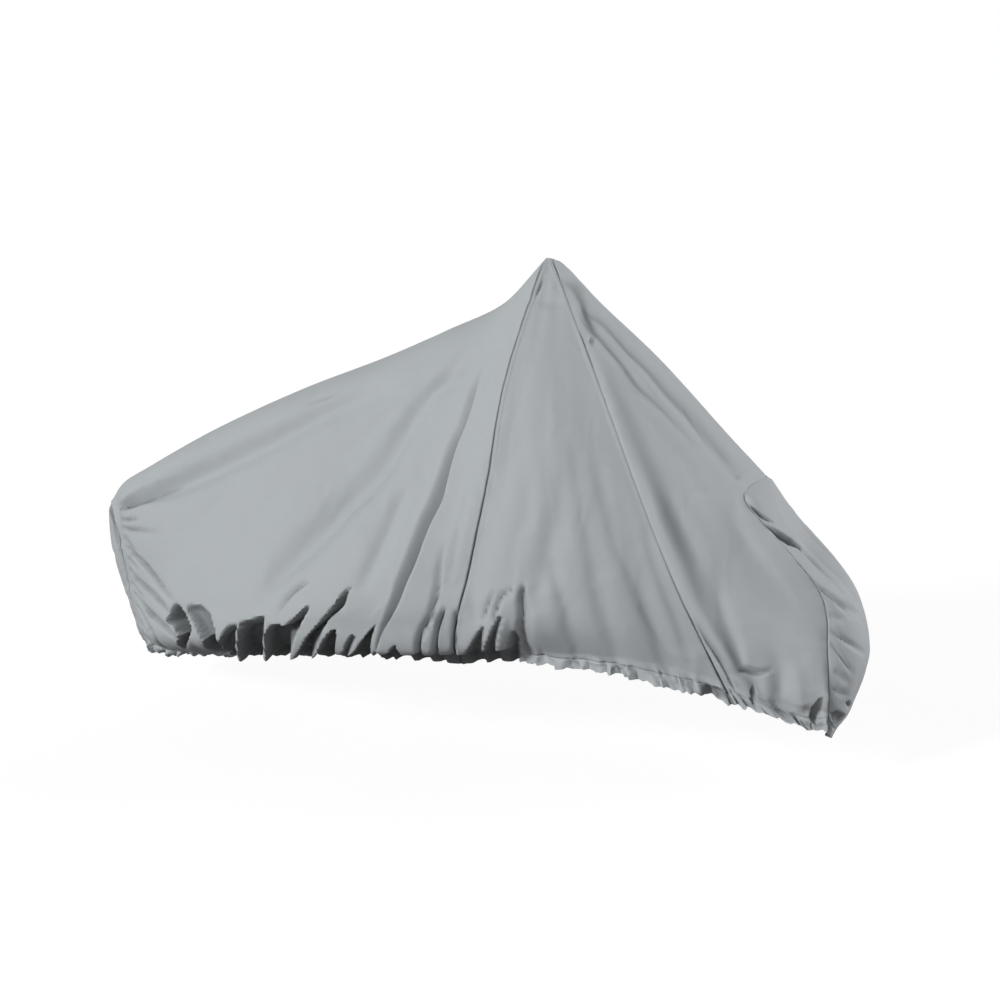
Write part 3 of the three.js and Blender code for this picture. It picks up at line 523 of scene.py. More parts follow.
def plain_form(places, stations):
    """Fore, out and fall of the plain form of one side, for each place and station."""
    places = np.clip(np.asarray(places, float), 0, NOSE)
    rows = np.zeros((len(places), len(STATIONS), 3))
    for first, last in zip(PANEL_ENDS, PANEL_ENDS[1:]):
        here = (places >= first) & (places <= last)
        rows[here] = spline(with_ends(NET[first:last + 1]), places[here] - first)
    mirrored = rows[:, 1:2] * [1, -1, 1]
    beyond = 2 * rows[:, -1:] - rows[:, -2:-1]
    lines = np.concatenate([mirrored, rows, beyond], axis=1)
    across = spline(np.moveaxis(lines, 1, 0), np.clip(stations, 0, HEM))
    return np.moveaxis(across, 0, 1)


def ease(share):
    """A smooth step from 0 to 1."""
    share = np.clip(share, 0, 1)
    return share**3 * (share * (6 * share - 15) + 10)


def unit(vectors):
    """The vectors at length one."""
    return vectors / np.maximum(np.linalg.norm(vectors, axis=-1, keepdims=True), 1e-9)


def form_at(places, stations):
    """The plain form where every station has its own places."""
    rows = [plain_form(places[:, j], stations[j:j + 1])[:, 0] for j in range(len(stations))]
    return np.stack(rows, axis=1)


def form_normals(places, stations):
    """Outward directions of the plain form, shared by both panels at a seam."""
    step = 0.02
    form = plain_form if places.ndim == 1 else form_at
    fore = form(places + step, stations) - form(places - step, stations)
    down = form(places, stations + step) - form(places, stations - step)
    return unit(np.cross(down, fore))


def fold_line(path):
    """Points of a fold's path: fore, fall, both widths and depth."""
    return spline(with_ends(path), np.linspace(0, len(path) - 1, PATH_STEPS * (len(path) - 1) + 1))


def pleated(places, stations, pleat):
    """Places of the columns at every station, bent so that one column follows the pleat's line."""
    line = fold_line(pleat[1:])
    fine = np.linspace(places[0], places[-1], 300)
    form = plain_form(fine, stations)
    ahead = form[..., 0] - np.interp(form[..., 2], line[:, 1], line[:, 0])
    met = np.array([np.interp(0, ahead[:, row], fine) for row in range(len(stations))])
    drift = (met - PLEAT_PLACE) * ease(stations / PLEAT_START)
    room = np.where(places < PLEAT_PLACE, PLEAT_REACH, places[-1] - PLEAT_PLACE)
    share = np.clip(1 - np.abs(places - PLEAT_PLACE) / room, 0, 1)
    return places[:, None] + share[:, None] * drift[None, :]


def soft_noise(across, along, seed):
    """Smooth random values between -1 and 1, with cells one unit wide."""
    size = 64
    lattice = np.random.default_rng(seed).uniform(-1, 1, (size, size))
    column, row = np.floor(across).astype(int), np.floor(along).astype(int)
    u, v = ease(across - column), ease(along - row)
    corner = [[lattice[(column + i) % size, (row + j) % size] for j in (0, 1)] for i in (0, 1)]
    near = corner[0][0] + (corner[1][0] - corner[0][0]) * u
    far = corner[0][1] + (corner[1][1] - corner[0][1]) * u
    return near + (far - near) * v


def within(fore, fall, line, reach):
    """Whether points lie in the box round a line's points, with this much room."""
    low, high = line[:, :2].min(axis=0) - reach, line[:, :2].max(axis=0) + reach
    return (fore > low[0]) & (fore < high[0]) & (fall > low[1]) & (fall < high[1])


def nearest(x, y, start, run):
    """The share of a straight run where it comes nearest to each point, and the way from there."""
    share = np.clip(((x - start[0]) * run[0] + (y - start[1]) * run[1]) / (run[0]**2 + run[1]**2), 0, 1)
    return share, x - start[0] - run[0] * share, y - start[1] - run[1] * share


def fold_profile(kind, apart):
    """Share of a fold's depth at distances from its line, which are given in widths."""
    if kind == "crease":
        return np.exp(-1.5 * np.sqrt(apart**2 + 0.01) + 0.15)
    if kind == "wall":
        return np.clip(1 - apart, 0, 1) ** 1.15
    return np.exp(-apart**2)


def folded(fore, fall, folds):
    """Depth of the folds at points seen from the side, and the painted shade in the sharp ones' bottoms."""
    depth = np.zeros(fore.shape)
    shade = np.zeros(fore.shape)
    for kind, *path in folds:
        line = fold_line(path)
        near = within(fore, fall, line, FOLD_REACH * line[:, 2:4].max())
        x, y = fore[near], fall[near]
        best = np.full(x.shape, np.inf)
        pressed = np.zeros(x.shape)
        for start, end in zip(line[:-1], line[1:]):
            run = end - start
            share, dx, dy = nearest(x, y, start, run)
            apart = np.hypot(dx, dy)
            right_hand = dy * run[0] - dx * run[1] > 0
            width = np.where(right_hand, start[2] + run[2] * share, start[3] + run[3] * share)
            profile = fold_profile(kind, apart / np.maximum(width, 1))
            closer = apart < best
            best = np.where(closer, apart, best)
            pressed = np.where(closer, (start[4] + run[4] * share) * profile, pressed)
        depth[near] += pressed
        if kind != "trough":
            sharp = np.clip(pressed / CREASE_DEPTH, 0, 1) * np.exp(-(best / CREASE_REACH)**2)
            shade[near] = np.maximum(shade[near], sharp)
    return depth, shade


def pocket_depth(fore, fall, pockets):
    """How far the cloth is turned in between the gathers: it slopes in from each pocket's outline."""
    depth = np.zeros(fore.shape)
    for deepest, outline in pockets:
        corners = np.array(outline, float)
        near = within(fore, fall, corners, 0)
        x, y = fore[near], fall[near]
        inside = np.zeros(x.shape, bool)
        edge = np.full(x.shape, np.inf)
        for start, end in zip(corners, np.roll(corners, -1, axis=0)):
            run = end - start
            share, dx, dy = nearest(x, y, start, run)
            edge = np.minimum(edge, np.hypot(dx, dy))
            if run[1]:
                crossed = (start[1] > y) != (end[1] > y)
                inside ^= crossed & (x < start[0] + run[0] * (y - start[1]) / run[1])
        share = np.clip(edge * POCKET_SLOPE * min(1, deepest / DEEP_POCKET) / deepest, 0, 1)
        full = POCKET_TOP + (1 - POCKET_TOP) * np.clip((y - corners[:, 1].min()) / POCKET_FALL, 0, 1)
        depth[near] = np.maximum(depth[near], np.where(inside, deepest * full * share * (2 - share), 0))
    return depth


def gathers(along, height, span, count, seed):
    """Short folds that run up from the elastic, as depths at distances along the hem and above it."""
    random = np.random.default_rng(seed)
    depth = np.zeros(along.shape)
    for _ in range(count):
        middle = random.uniform(*span)
        width = random.uniform(*GATHER_WIDTHS)
        length = random.uniform(*GATHER_LENGTHS) * random.uniform(*GATHER_SHARES)
        deepest = random.uniform(*GATHER_DEPTHS) * min(1, width / 8)
        drift = random.uniform(-GATHER_DRIFT, GATHER_DRIFT)
        near = (np.abs(along - middle) < GATHER_REACH) & (height < length)
        apart = (along[near] - middle - drift * height[near]) / (width * (1 + height[near] / length))
        depth[near] += deepest * np.exp(-apart**2) * ease(1 - height[near] / length)
    return depth


def slack(fore, fall, side):
    """Faint waves of slack cloth, which run down from the peak."""
    turn = np.arctan2(fore, fall + SLACK_CENTRE)
    reach = np.hypot(fore, fall + SLACK_CENTRE)
    seed = 40 + side
    broad = soft_noise(turn * 7 + 9, reach / 420 + 3, seed)
    fine = soft_noise(turn * 15 + 5, reach / 260 + 7, seed + 5)
    patches = soft_noise(fore / 190 + 31, fall / 170 + 11, seed + 9)
    bend = soft_noise(fore / 120 + 17, fall / 120 + 23, seed + 13)
    crumpled = soft_noise(fore / 46 + bend + 12, fall / 58 + bend + 4, seed + 17)
    low = SLACK_HIGH + (1 - SLACK_HIGH) * ease((fall - SLACK_FALL) / SLACK_SPAN)
    waves = SLACK_BROAD * broad + SLACK_FINE * fine + SLACK_PATCHES * patches
    return (waves + SLACK_CRUMPLES * np.abs(crumpled)) * low


def arc_lengths(grid, axis):
    """Distances along one axis of a grid, in millimetres from its first line."""
    steps = np.linalg.norm(np.diff(grid, axis=axis), axis=-1)
    start = np.zeros_like(np.take(steps, [0], axis=axis))
    return np.concatenate([start, np.cumsum(steps, axis=axis)], axis=axis)


def heights_above_hem(grid):
    """Distances along every column of a grid, up from its last row."""
    down = arc_lengths(grid, 1)
    return down[:, -1:] - down


def even_places(first, last, columns, spacing=((0, 1), (1, 1)), pleat=None):
    """Places of a panel's columns at the belly, with more of them at its seams. Spacing tells how far
    apart they are at some places, compared with each other."""
    fine = np.linspace(first, last, 2000)
    line = plain_form(fine, np.array([BELLY]))[:, 0]
    length = arc_lengths(line[:, None], 0)[:, 0]
    apart = np.interp(fine, *zip(*spacing))
    measure = np.concatenate([[0], np.cumsum(np.diff(length) * 2 / (apart[1:] + apart[:-1]))])
    wanted = np.interp(np.linspace(0, measure[-1], columns + 1), measure, length)
    edge = np.array(SEAM_EDGE_STEPS)
    wanted = np.unique(np.concatenate([wanted, edge, length[-1] - edge]))
    if pleat is not None:
        pair = np.interp(pleat, fine, length) + np.array([0, PLEAT_STEP])
        wanted = wanted[np.abs(wanted - pair.mean()) > PLEAT_STEP]
        wanted = np.sort(np.concatenate([wanted, pair]))
    return np.interp(wanted, length, fine)


def row_stations(longest, rows):
    """Stations of the rows from the ridge to the hem, closer together near the hem."""
    fine = np.linspace(0, HEM, 1500)
    length = arc_lengths(plain_form(np.array([longest]), fine)[0][:, None], 0)[:, 0]
    heights = [0.0]
    for step, top in rows:
        while heights[-1] + step < min(top, length[-1]):
            heights.append(heights[-1] + step)
    heights[-1] = length[-1]
    return np.interp(length[-1] - np.array(heights[::-1]), length, fine)


def seam_relief(distance, height, seam, reach):
    """Depth of the cloth beside a sewn seam: it dips to the seam within its reach, and puckers there."""
    dip, pucker = SEAMS[seam]
    seed = 70 + list(SEAMS).index(seam)
    band = -BAND[2] * ease(2 - 2 * np.abs(distance - BAND[0]) / BAND[1]) if reach <= TIGHT else 0
    fine = soft_noise(height / 11 + 3, 0.5 + distance / 40, seed) * np.exp(-distance / 14)
    wave = soft_noise(height / 27 + 8, 1.5 + distance / 70, seed + 10) * np.exp(-distance / 32)
    return dip * np.clip(1 - distance / reach, 0, 1) ** 2 + band + pucker * (fine + 1.3 * wave)


def side_cloth(places, longest, side, first_seam, last_seam):
    """The outer face of one side of a panel and its directions, as grids of columns by rows. Each seam
    is its name and the reach of its dip."""
    rows, folds, pockets, fingers, pleat = {
        RIGHT: (RIGHT_ROWS, RIGHT_FOLDS, RIGHT_POCKETS, RIGHT_FINGERS, RIGHT_PLEAT),
        LEFT: (LEFT_ROWS, LEFT_FOLDS, LEFT_POCKETS, LEFT_FINGERS, LEFT_PLEAT),
    }[side]
    stations = row_stations(longest, rows)
    if places[0] < PLEAT_PLACE < places[-1]:
        places = pleated(places, stations, pleat)
    else:
        places = np.broadcast_to(places[:, None], (len(places), len(stations)))
    plain = form_at(places, stations)
    fore, fall = plain[..., 0], plain[..., 2]
    along = np.broadcast_to(fore[:, -1:], fore.shape)
    height = heights_above_hem(plain)
    from_first = arc_lengths(plain, 0)
    from_last = from_first[-1:] - from_first
    beside_ridge = ease(stations / RIDGE_FADE)[None, :]
    beside_ends = ease(np.minimum(places, NOSE - places) / END_FADE)
    pleat_depth = folded(fore, fall, [pleat])[0]
    folds_depth, painted_crease_shade = folded(fore, fall, folds)
    turned = pocket_depth(fore, fall, pockets) * beside_ends
    turned *= POCKET_HEM + (1 - POCKET_HEM) * ease(height / 60)
    turned *= 1 - ruffled(along)[1] * (1 - ease((height - 13) / 16))
    depth = (folds_depth + pleat_depth + slack(fore, fall, side)) * beside_ridge * beside_ends + turned
    depth += folded(fore, fall, fingers)[0] * beside_ends * ease(height / 40)
    depth += hem_relief(along, height, side) * beside_ends
    depth += seam_relief(from_first, height, *first_seam) * beside_ridge
    depth += seam_relief(from_last, height, *last_seam) * beside_ridge
    outward = level_near_hem(form_normals(places, stations), height)
    points = plain - outward * depth[..., None]
    points[..., 2] += hem_drop(along, height, side) * beside_ends - tip_rise(along, height)
    points[..., 1] *= side
    outward[..., 1] *= side
    # Painted shade: the cloth's colour is darkened in the pockets and the column beside them, on the
    # pleat's sloping side, right at the seams, in the sharp creases' bottoms, and low down where the taut
    # cloth turns under to the hem.
    first_off, last_off = (END_SEAM_OFF * (seam[0] in ENDS) for seam in (first_seam, last_seam))
    to_seam = np.minimum(from_first + first_off, from_last + last_off)
    painted_dimming = painted_pocket_shade(turned)
    painted_dimming[:-1] = np.maximum(painted_dimming[:-1], DARK_BESIDE * painted_dimming[1:])
    dark = np.maximum.reduce([
        painted_dimming,
        PLEAT_DARK * np.clip(pleat_depth / PLEAT_DEPTH, 0, 1),
        SEAM_DARK * np.clip(SEAM_DARK_START - to_seam / SEAM_DARK_REACH, 0, 1) * beside_ridge,
        CREASE_DARK * painted_crease_shade,
        (1 - sum(ruffled(along))) * ease((UNDER_TURN - height) / 12),
    ])
    return stood_up(points, outward, dark)


def painted_pocket_shade(turned):
    """Painted shade where the cloth is turned in between the gathers: how much its colour is darkened."""
    deep = np.clip(turned / DARK_DEPTH, 0, 1)
    return np.clip(turned / DARK_EDGE, 0, 1) * (DARK_START + (1 - DARK_START) * deep)


def stood_up(points, outward, dark):
    """Turns falls into heights. A fourth number of each point is the painted shade there: how much the
    cloth's colour is darkened.
    """
    points, outward = points * [1, 1, -1] + [0, 0, SHEET], outward * [1, 1, -1]
    return np.dstack([points, dark]), np.dstack([outward, 0 * dark])


def level_near_hem(outward, height):
    """Turns the directions level near the hem, so that its folds don't lift or lower its edge."""
    upright = outward * [0, 0, 1] * ease((height - LEVEL_FROM) / LEVEL_SPAN)[..., None]
    return unit(outward * [1, 1, 0] + upright)


def ruffled(along):
    """Where the casing stands out in ruffles: in front of the rear seam, and at the rear corner."""
    return ease((along - FRONT_RUFFLES) / RUFFLE_START), ease((REAR_RUFFLES - along) / RUFFLE_START)


def low_down(height, full, gone):
    """1 up to a height above the hem, then falling to 0 at a second one."""
    return ease((gone - height) / (gone - full))


def hem_relief(along, height, side):
    """Depth of the gathers, the casing's stitched line and its ruffles, and of the turn under it."""
    seed = 100 + 10 * side
    front, rear = ruffled(along)
    loose = front + rear
    depth = gathers(along, height, HEM_SPAN, GATHERS, seed) * (0.5 + 0.5 * loose)
    depth += STITCHED_LINE * np.exp(-(((height - CASING) / 3.2) ** 2)) * (0.3 + 0.7 * front)
    ruffle = soft_noise(along / 9.5, height / 70 + 4, seed + 1) * low_down(height, 12.5, 62.5)
    broad = soft_noise(along / 23, height / 80 + 9, seed + 2) * low_down(height, 18, 108)
    depth += (RUFFLE * ruffle + BROAD_RUFFLE * broad) * (0.2 + 0.8 * loose)
    frill = np.abs(soft_noise(along / 15, height / 60 + 3, seed + 3)) * low_down(height, 5.2, 57.2)
    depth -= rear * (FRILL * frill + REAR_FLARE * low_down(height, 8, 48))
    puffs = np.abs(soft_noise(along / 13, height / 50 + 6, seed + 4)) - PUFF_MIDDLE
    depth -= front * PUFFS * puffs * low_down(height, 7.8, 59.8)
    depth -= FRONT_FLARE * front * np.clip(1 - height / FLARE_TOP, 0, 1) ** 1.3
    taut = low_down(height, UNDER_TURN, TAUT_TOP) * ease((height - UNDER_TURN + 22) / 26)
    return depth - TAUT * (1 - loose) * taut


def hem_drop(along, height, side):
    """How much lower the hem hangs where its casing is ruffled."""
    front, rear = ruffled(along)
    jag = soft_noise(along / 9.5 + 5, height / 60 + 2, 104 + side) * low_down(height, 6.8, 40.8)
    lift = FRONT_LIFT * front * ease((FRONT_LIFT_END - along) / 300) + REAR_LIFT * rear
    return HEM_JAG * jag * (front + rear) - lift * low_down(height, 6, 66)


def tip_rise(along, height):
    """How much higher the cloth ends towards the nose."""
    return TIP_RISE * ease((along - TIP_START) / 70) * low_down(height, 13.5, 103.5)


def turned_hem(points, outward):
    """Adds the casing's inner side: the last rows again, a casing's depth further in."""
    last = points.shape[1] - 1
    rows = [last - 1 - step for step in range(TURNED_ROWS)]
    inner = points[:, rows] - outward[:, rows] * CASING_DEPTH
    # The casing's inner side is given full painted shade.
    inner[..., 3] = 1
    edge = points[:, last:] - outward[:, last:] * CASING_DEPTH / 2
    edge = edge + (points[:, last:] - points[:, last - 1:last]) * EDGE_DROP
    return np.concatenate([points, edge, inner], axis=1)


def saddle_grid(places, longest, first_seam, last_seam):
    """A panel that lies over the ridge, from the right hem to the left one."""
    right, left = (
        turned_hem(*side_cloth(places, longest, side, first_seam, last_seam)) for side in (RIGHT, LEFT)
    )
    return np.concatenate([right[:, ::-1], left[:, 1:]], axis=1)


def seam_line(place, stations, seam_name):
    """The edge of the panel that a gusset is sewn to: fore, out and fall, on the right side."""
    place = np.array([place])
    fine = np.linspace(0, HEM, 600)
    length = arc_lengths(plain_form(place, fine), 1)[0]
    height = length[-1] - np.interp(stations, fine, length)
    depth = seam_relief(0 * height, height, seam_name, WIDE) * ease(stations / RIDGE_FADE)
    outward = level_near_hem(form_normals(place, stations)[0], height)
    points = plain_form(place, stations)[0] - outward * depth[:, None]
    points[:, 2] -= tip_rise(plain_form(place, np.array([HEM]))[0, 0, 0], height)
    return points * [1, -1, 1]


def gusset_form(place, middle, seam, turns, stations):
    """The plain strip and the falls that its folds are placed by. Its rows are half ellipses through its
    middle line, and its first row follows the ridge of the panel that it is sewn to."""
    line = spline(with_ends(middle), stations - CROWN)
    top = plain_form(np.array([place]), np.abs(turns) / (math.pi / 2) * CROWN)[0]
    lean = (1 - np.cos(turns))[:, None]
    fore = line[:, 0] + (seam[:, 0] - line[:, 0]) * lean
    fall = line[:, 1] + (seam[:, 2] - line[:, 1]) * lean
    across = seam[:, 1] * np.sin(turns)[:, None]
    merge = ease(1 - (stations - CROWN) / 0.12)
    arc = np.stack([top[:, 0], top[:, 1] * np.sign(turns), top[:, 2]], axis=1)
    plain = np.dstack([fore, across, fall])
    return plain + (arc - plain[:, 0])[:, None] * merge[None, :, None], fall


def gusset_grid(place, middle, folds, slits, seam_name, columns, stations, seed):
    """A strip between the same seam of both sides, with its folds, slits, gathers and puckers."""
    turns = np.linspace(-1, 1, columns + 1) * math.pi / 2
    seam = plain_form(np.array([place]), stations)[0]
    points, fall = gusset_form(place, middle, seam, turns, stations)
    outward = unit(np.cross(np.gradient(points, axis=0), np.gradient(points, axis=1)))
    facing = np.sign(seam[:, 0].mean() - np.mean(NET[:, 3, 0]))
    outward *= np.sign(outward[columns // 2, len(stations) // 2, 0] * facing)
    width = arc_lengths(points, 0)
    around = width - width[-1:] / 2
    edge = np.minimum(width, width[-1:] - width)
    down = arc_lengths(points, 1)
    height = heights_above_hem(points)
    turned = pocket_depth(around, fall, slits)
    depth = folded(around, fall, folds)[0] * ease(edge / 12) + turned
    depth += GUSSET_SLACK * soft_noise(around / 60 + 20, down / 130 + 5, seed) * ease(edge / 30)
    span = (around.min(), around.max())
    depth += gathers(around, height, span, GUSSET_GATHERS, seed + 1) * ease(edge / 10)
    depth += seam_relief(edge, height, seam_name, WIDE)
    ruffle = soft_noise(around / 16 + 40, height / 60 + 2, seed + 2) * low_down(height, 0, 60)
    stitched = np.exp(-(((height - CASING) / 3.5) ** 2))
    depth += (GUSSET_STITCHED_LINE * stitched + GUSSET_RUFFLE * ruffle) * ease(edge / 8)
    outward = level_near_hem(outward, height)
    points = points - outward * depth[..., None]
    points[..., 2] -= tip_rise(seam[-1, 0], height)
    rim = seam_line(place, np.abs(turns) / (math.pi / 2) * CROWN, seam_name)
    rim[turns > 0, 1] *= -1
    points += (rim - points[:, 0])[:, None] * ease(1 - down / SEWN_REACH)[..., None]
    sewn = seam_line(place, stations, seam_name)
    for column, mirror, distance in ((0, 1, width), (columns, -1, width[-1:] - width)):
        beside = ease(1 - distance / SEWN_REACH)
        points += (sewn * [1, mirror, 1] - points[column])[None] * beside[..., None]
    # Painted shade in the slits, as in the panels' pockets.
    return turned_hem(*stood_up(points, outward, painted_pocket_shade(turned)))


def cloth_object(name, grid):
    """A sheet through the grid's points, with a UV map in metres of cloth."""
    columns, rows = grid.shape[0] - 1, grid.shape[1] - 1
    points = grid[..., :3] * MM
    bm = bmesh.new()
    bmesh.ops.create_grid(bm, x_segments=columns, y_segments=rows, size=1.0)
    place_of = {}
    # Each point keeps its painted shade as an attribute, which darkens the cloth's colour in the material.
    dark = bm.verts.layers.float.new("dark")
    for vert in bm.verts:
        column = round((vert.co.x + 1) / 2 * columns)
        row = round((vert.co.y + 1) / 2 * rows)
        place_of[vert] = (column, row)
        vert.co = points[column, row]
        vert[dark] = grid[column, row, 3]
    middle = columns // 2
    across = arc_lengths(points, 0)
    across = across - across[middle]
    down = arc_lengths(points, 1)[middle]
    uv = bm.loops.layers.uv.new("cloth")
    for face in bm.faces:
        face.smooth = True
        for loop in face.loops:
            column, row = place_of[loop.vert]
            loop[uv].uv = (across[column, row], down[row])
    bm.normal_update()
    for edge in bm.edges:
        if len(edge.link_faces) == 2:
            edge.smooth = edge.calc_face_angle() < SHARP_TURN
    inside = Vector(INSIDE) * MM
    if sum(face.normal.dot(face.calc_center_median() - inside) * face.calc_area() for face in bm.faces) < 0:
        bmesh.ops.reverse_faces(bm, faces=bm.faces)
    return new_object(name, bm)


def new_object(name, bm):
    """An object at the origin that takes over the bmesh's faces."""
    mesh = bpy.data.meshes.new(name)
    bm.to_mesh(mesh)
    bm.free()
    piece = bpy.data.objects.new(name, mesh)
    bpy.context.scene.collection.objects.link(piece)
    return piece


def thicken(piece, thickness):
    """Gives the sheet its thickness, inwards from its outer face."""
    solidify = piece.modifiers.new("cloth thickness", "SOLIDIFY")
    solidify.thickness = thickness
    solidify.offset = -1
    solidify.use_rim = True


def fill(tree, node, inputs):
    """Links a node's inputs to sockets, or gives them their values."""
    for name, value in inputs.items():
        if isinstance(value, bpy.types.NodeSocket):
            tree.links.new(value, node.inputs[name])
        else:
            node.inputs[name].default_value = value


def shader_node(tree, kind, at, inputs=None, **settings):
    """A node at its place in the tree, with its settings and inputs."""
    node = tree.nodes.new(kind)
    node.location = at
    for name, value in settings.items():
        setattr(node, name, value)
    fill(tree, node, inputs or {})
    return node


def maths(tree, operation, at, *values):
    """The result of a Math node whose inputs are sockets or numbers."""
    return shader_node(tree, "ShaderNodeMath", at, dict(enumerate(values)), operation=operation).outputs[0]


def new_group(name, inputs, outputs):
    """A shader node group with its named sockets, and what its inputs put out."""
    tree = bpy.data.node_groups.new(name, "ShaderNodeTree")
    for label, kind, value in inputs:
        socket = tree.interface.new_socket(label, in_out="INPUT", socket_type=f"NodeSocket{kind}")
        socket.default_value = value
    for label in outputs:
        tree.interface.new_socket(label, in_out="OUTPUT", socket_type="NodeSocketFloat")
    return tree, shader_node(tree, "NodeGroupInput", (-1000, 0)).outputs


def woven_group():
    """Threads of a plain weave: their height, and which of them lies on top."""
    name = "woven threads"
    if name in bpy.data.node_groups:
        return bpy.data.node_groups[name]
    inputs = (("Cloth", "Vector", (0, 0, 0)), ("Pitch", "Float", 0.0008))
    tree, entry = new_group(name, inputs, ("Height", "Warp"))
    parts = shader_node(tree, "ShaderNodeSeparateXYZ", (-800, 0), {0: entry["Cloth"]})
    waves = []
    for axis, height in (("X", 120), ("Y", -120)):
        threads = maths(tree, "DIVIDE", (-600, height), parts.outputs[axis], entry["Pitch"])
        angle = maths(tree, "MULTIPLY", (-420, height), threads, math.pi)
        waves.append(maths(tree, "SINE", (-240, height), angle))
    crossing = maths(tree, "MULTIPLY", (-60, 0), *waves)
    warp = maths(tree, "GREATER_THAN", (120, 0), crossing, 0.0)
    over = maths(tree, "ABSOLUTE", (120, 160), waves[0])
    under = maths(tree, "ABSOLUTE", (120, -160), waves[1])
    height = shader_node(
        tree, "ShaderNodeMix", (320, 0), {"Factor": warp, "A": under, "B": over}, data_type="FLOAT"
    )
    shader_node(tree, "NodeGroupOutput", (700, 0), {"Height": height.outputs["Result"], "Warp": warp})
    return tree


def crumple_group():
    """Handling marks of coated cloth: soft crumples, and patches with a slightly different tone."""
    name = "crumpled cloth"
    if name in bpy.data.node_groups:
        return bpy.data.node_groups[name]
    inputs = (("Place", "Vector", (0, 0, 0)), ("Size", "Float", 14.0))
    tree, entry = new_group(name, inputs, ("Height", "Shade"))
    creases = shader_node(tree, "ShaderNodeTexNoise", (-500, 150), {
        "Vector": entry["Place"], "Scale": entry["Size"],
        "Detail": 3.0, "Roughness": 0.45, "Distortion": 0.6,
    })
    patches = shader_node(tree, "ShaderNodeTexNoise", (-500, -200), {
        "Vector": entry["Place"], "Scale": 3.2, "Detail": 2.0,
    })
    centred = maths(tree, "SUBTRACT", (-260, 150), creases.outputs["Fac"], 0.5)
    folded_over = maths(tree, "ABSOLUTE", (-80, 150), centred)
    height = maths(tree, "MULTIPLY", (120, 150), folded_over, 2.0)
    shader_node(tree, "NodeGroupOutput", (500, 0), {"Height": height, "Shade": patches.outputs["Fac"]})
    return tree


def new_material(name):
    """A material with its node tree and its shader."""
    material = bpy.data.materials.new(name)
    material.use_nodes = True
    return material, material.node_tree, material.node_tree.nodes["Principled BSDF"]


def cloth_material(name, colour, finish):
    """Coated woven cloth with soft crumples and an uneven tone, and painted shade in its folds, seams and
    turned-in hem.
    """
    material, tree, shader = new_material(name)
    cloth_uv = shader_node(tree, "ShaderNodeUVMap", (-900, 200), uv_map="cloth")
    coords = shader_node(tree, "ShaderNodeTexCoord", (-900, -200))
    threads = shader_node(tree, "ShaderNodeGroup", (-650, 250), {
        "Cloth": cloth_uv.outputs["UV"], "Pitch": finish.thread_pitch,
    }, node_tree=woven_group()).outputs["Height"]
    marks = shader_node(tree, "ShaderNodeGroup", (-650, -150), {
        "Place": coords.outputs["Object"],
    }, node_tree=crumple_group()).outputs
    # Painted shade: the point attribute darkens the cloth's colour, down to the set brightness where it is
    # full.
    turned = shader_node(tree, "ShaderNodeAttribute", (-650, 500), attribute_name="dark").outputs["Fac"]
    painted_dimming = maths(tree, "MULTIPLY_ADD", (-300, 400), turned, finish.painted_shade_brightness - 1, 1.0)
    uneven = finish.patchiness
    shade = maths(tree, "MULTIPLY_ADD", (-300, -60), marks["Shade"], uneven, 1 - uneven / 2)
    thread = maths(tree, "MULTIPLY_ADD", (-300, 160), threads, THREAD_LIGHT, THREAD_DARK)
    outer = maths(tree, "MULTIPLY", (-80, 60), shade, thread)
    brightness = maths(tree, "MULTIPLY", (-80, 240), outer, painted_dimming)
    channels = dict.fromkeys(("Red", "Green", "Blue"), brightness)
    grey = shader_node(tree, "ShaderNodeCombineColor", (-80, -120), channels)
    tint = shader_node(
        tree, "ShaderNodeMix", (150, 120), {"Factor": 1.0, "A": (*colour, 1.0), "B": grey.outputs["Color"]},
        data_type="RGBA", blend_type="MULTIPLY",
    )
    rough = finish.roughness - ROUGH_SPREAD / 2
    rough = maths(tree, "MULTIPLY_ADD", (150, -100), marks["Shade"], ROUGH_SPREAD, rough)
    weave_height = maths(tree, "MULTIPLY", (-300, -300), threads, finish.thread_height)
    crumple_height = maths(tree, "MULTIPLY", (-300, -460), marks["Height"], finish.crumple_height)
    height = maths(tree, "ADD", (-80, -380), weave_height, crumple_height)
    bump = shader_node(tree, "ShaderNodeBump", (500, -300), {
        "Height": height, "Strength": 1.0, "Distance": 1.0,
    })
    fill(tree, shader, {
        "Base Color": tint.outputs["Result"], "Roughness": rough, "Normal": bump.outputs["Normal"],
        "Sheen Weight": finish.sheen, "Sheen Roughness": 0.45, "Specular IOR Level": 0.35,
    })
    return material


def cover_material(context, slot):
    """The cloth of one slot, made once."""
    finish = context.scene.cover_finish
    name = slot.replace("_", " ")
    if name in bpy.data.materials:
        return bpy.data.materials[name]
    return cloth_material(name, tuple(getattr(finish, slot)), finish)


def mottled(tree, scale, low, high):
    """A noise on Object coordinates, and a tone that varies with it."""
    coords = shader_node(tree, "ShaderNodeTexCoord", (-900, 0))
    noise = shader_node(tree, "ShaderNodeTexNoise", (-700, 0), {
        "Vector": coords.outputs["Object"], "Scale": scale,
    }).outputs["Fac"]
    tone = shader_node(tree, "ShaderNodeMapRange", (-500, 0), {
        "Value": noise, "To Min": low, "To Max": high,
    })
    return noise, tone.outputs["Result"]


def thread_material(finish):
    """Dark twisted thread."""
    material, tree, shader = new_material("thread")
    twist, tone = mottled(tree, 900.0, 0.07, 0.13)
    bump = shader_node(tree, "ShaderNodeBump", (-250, -250), {"Height": twist, "Distance": 0.0001})
    fill(tree, shader, {
        "Base Color": tone, "Roughness": finish.roughness, "Normal": bump.outputs["Normal"],
    })
    return material


def metres(name, description, default, precision=3):
    """A size in metres that a user may change."""
    return FloatProperty(
        name=name, description=description, default=default, unit="LENGTH", precision=precision
    )


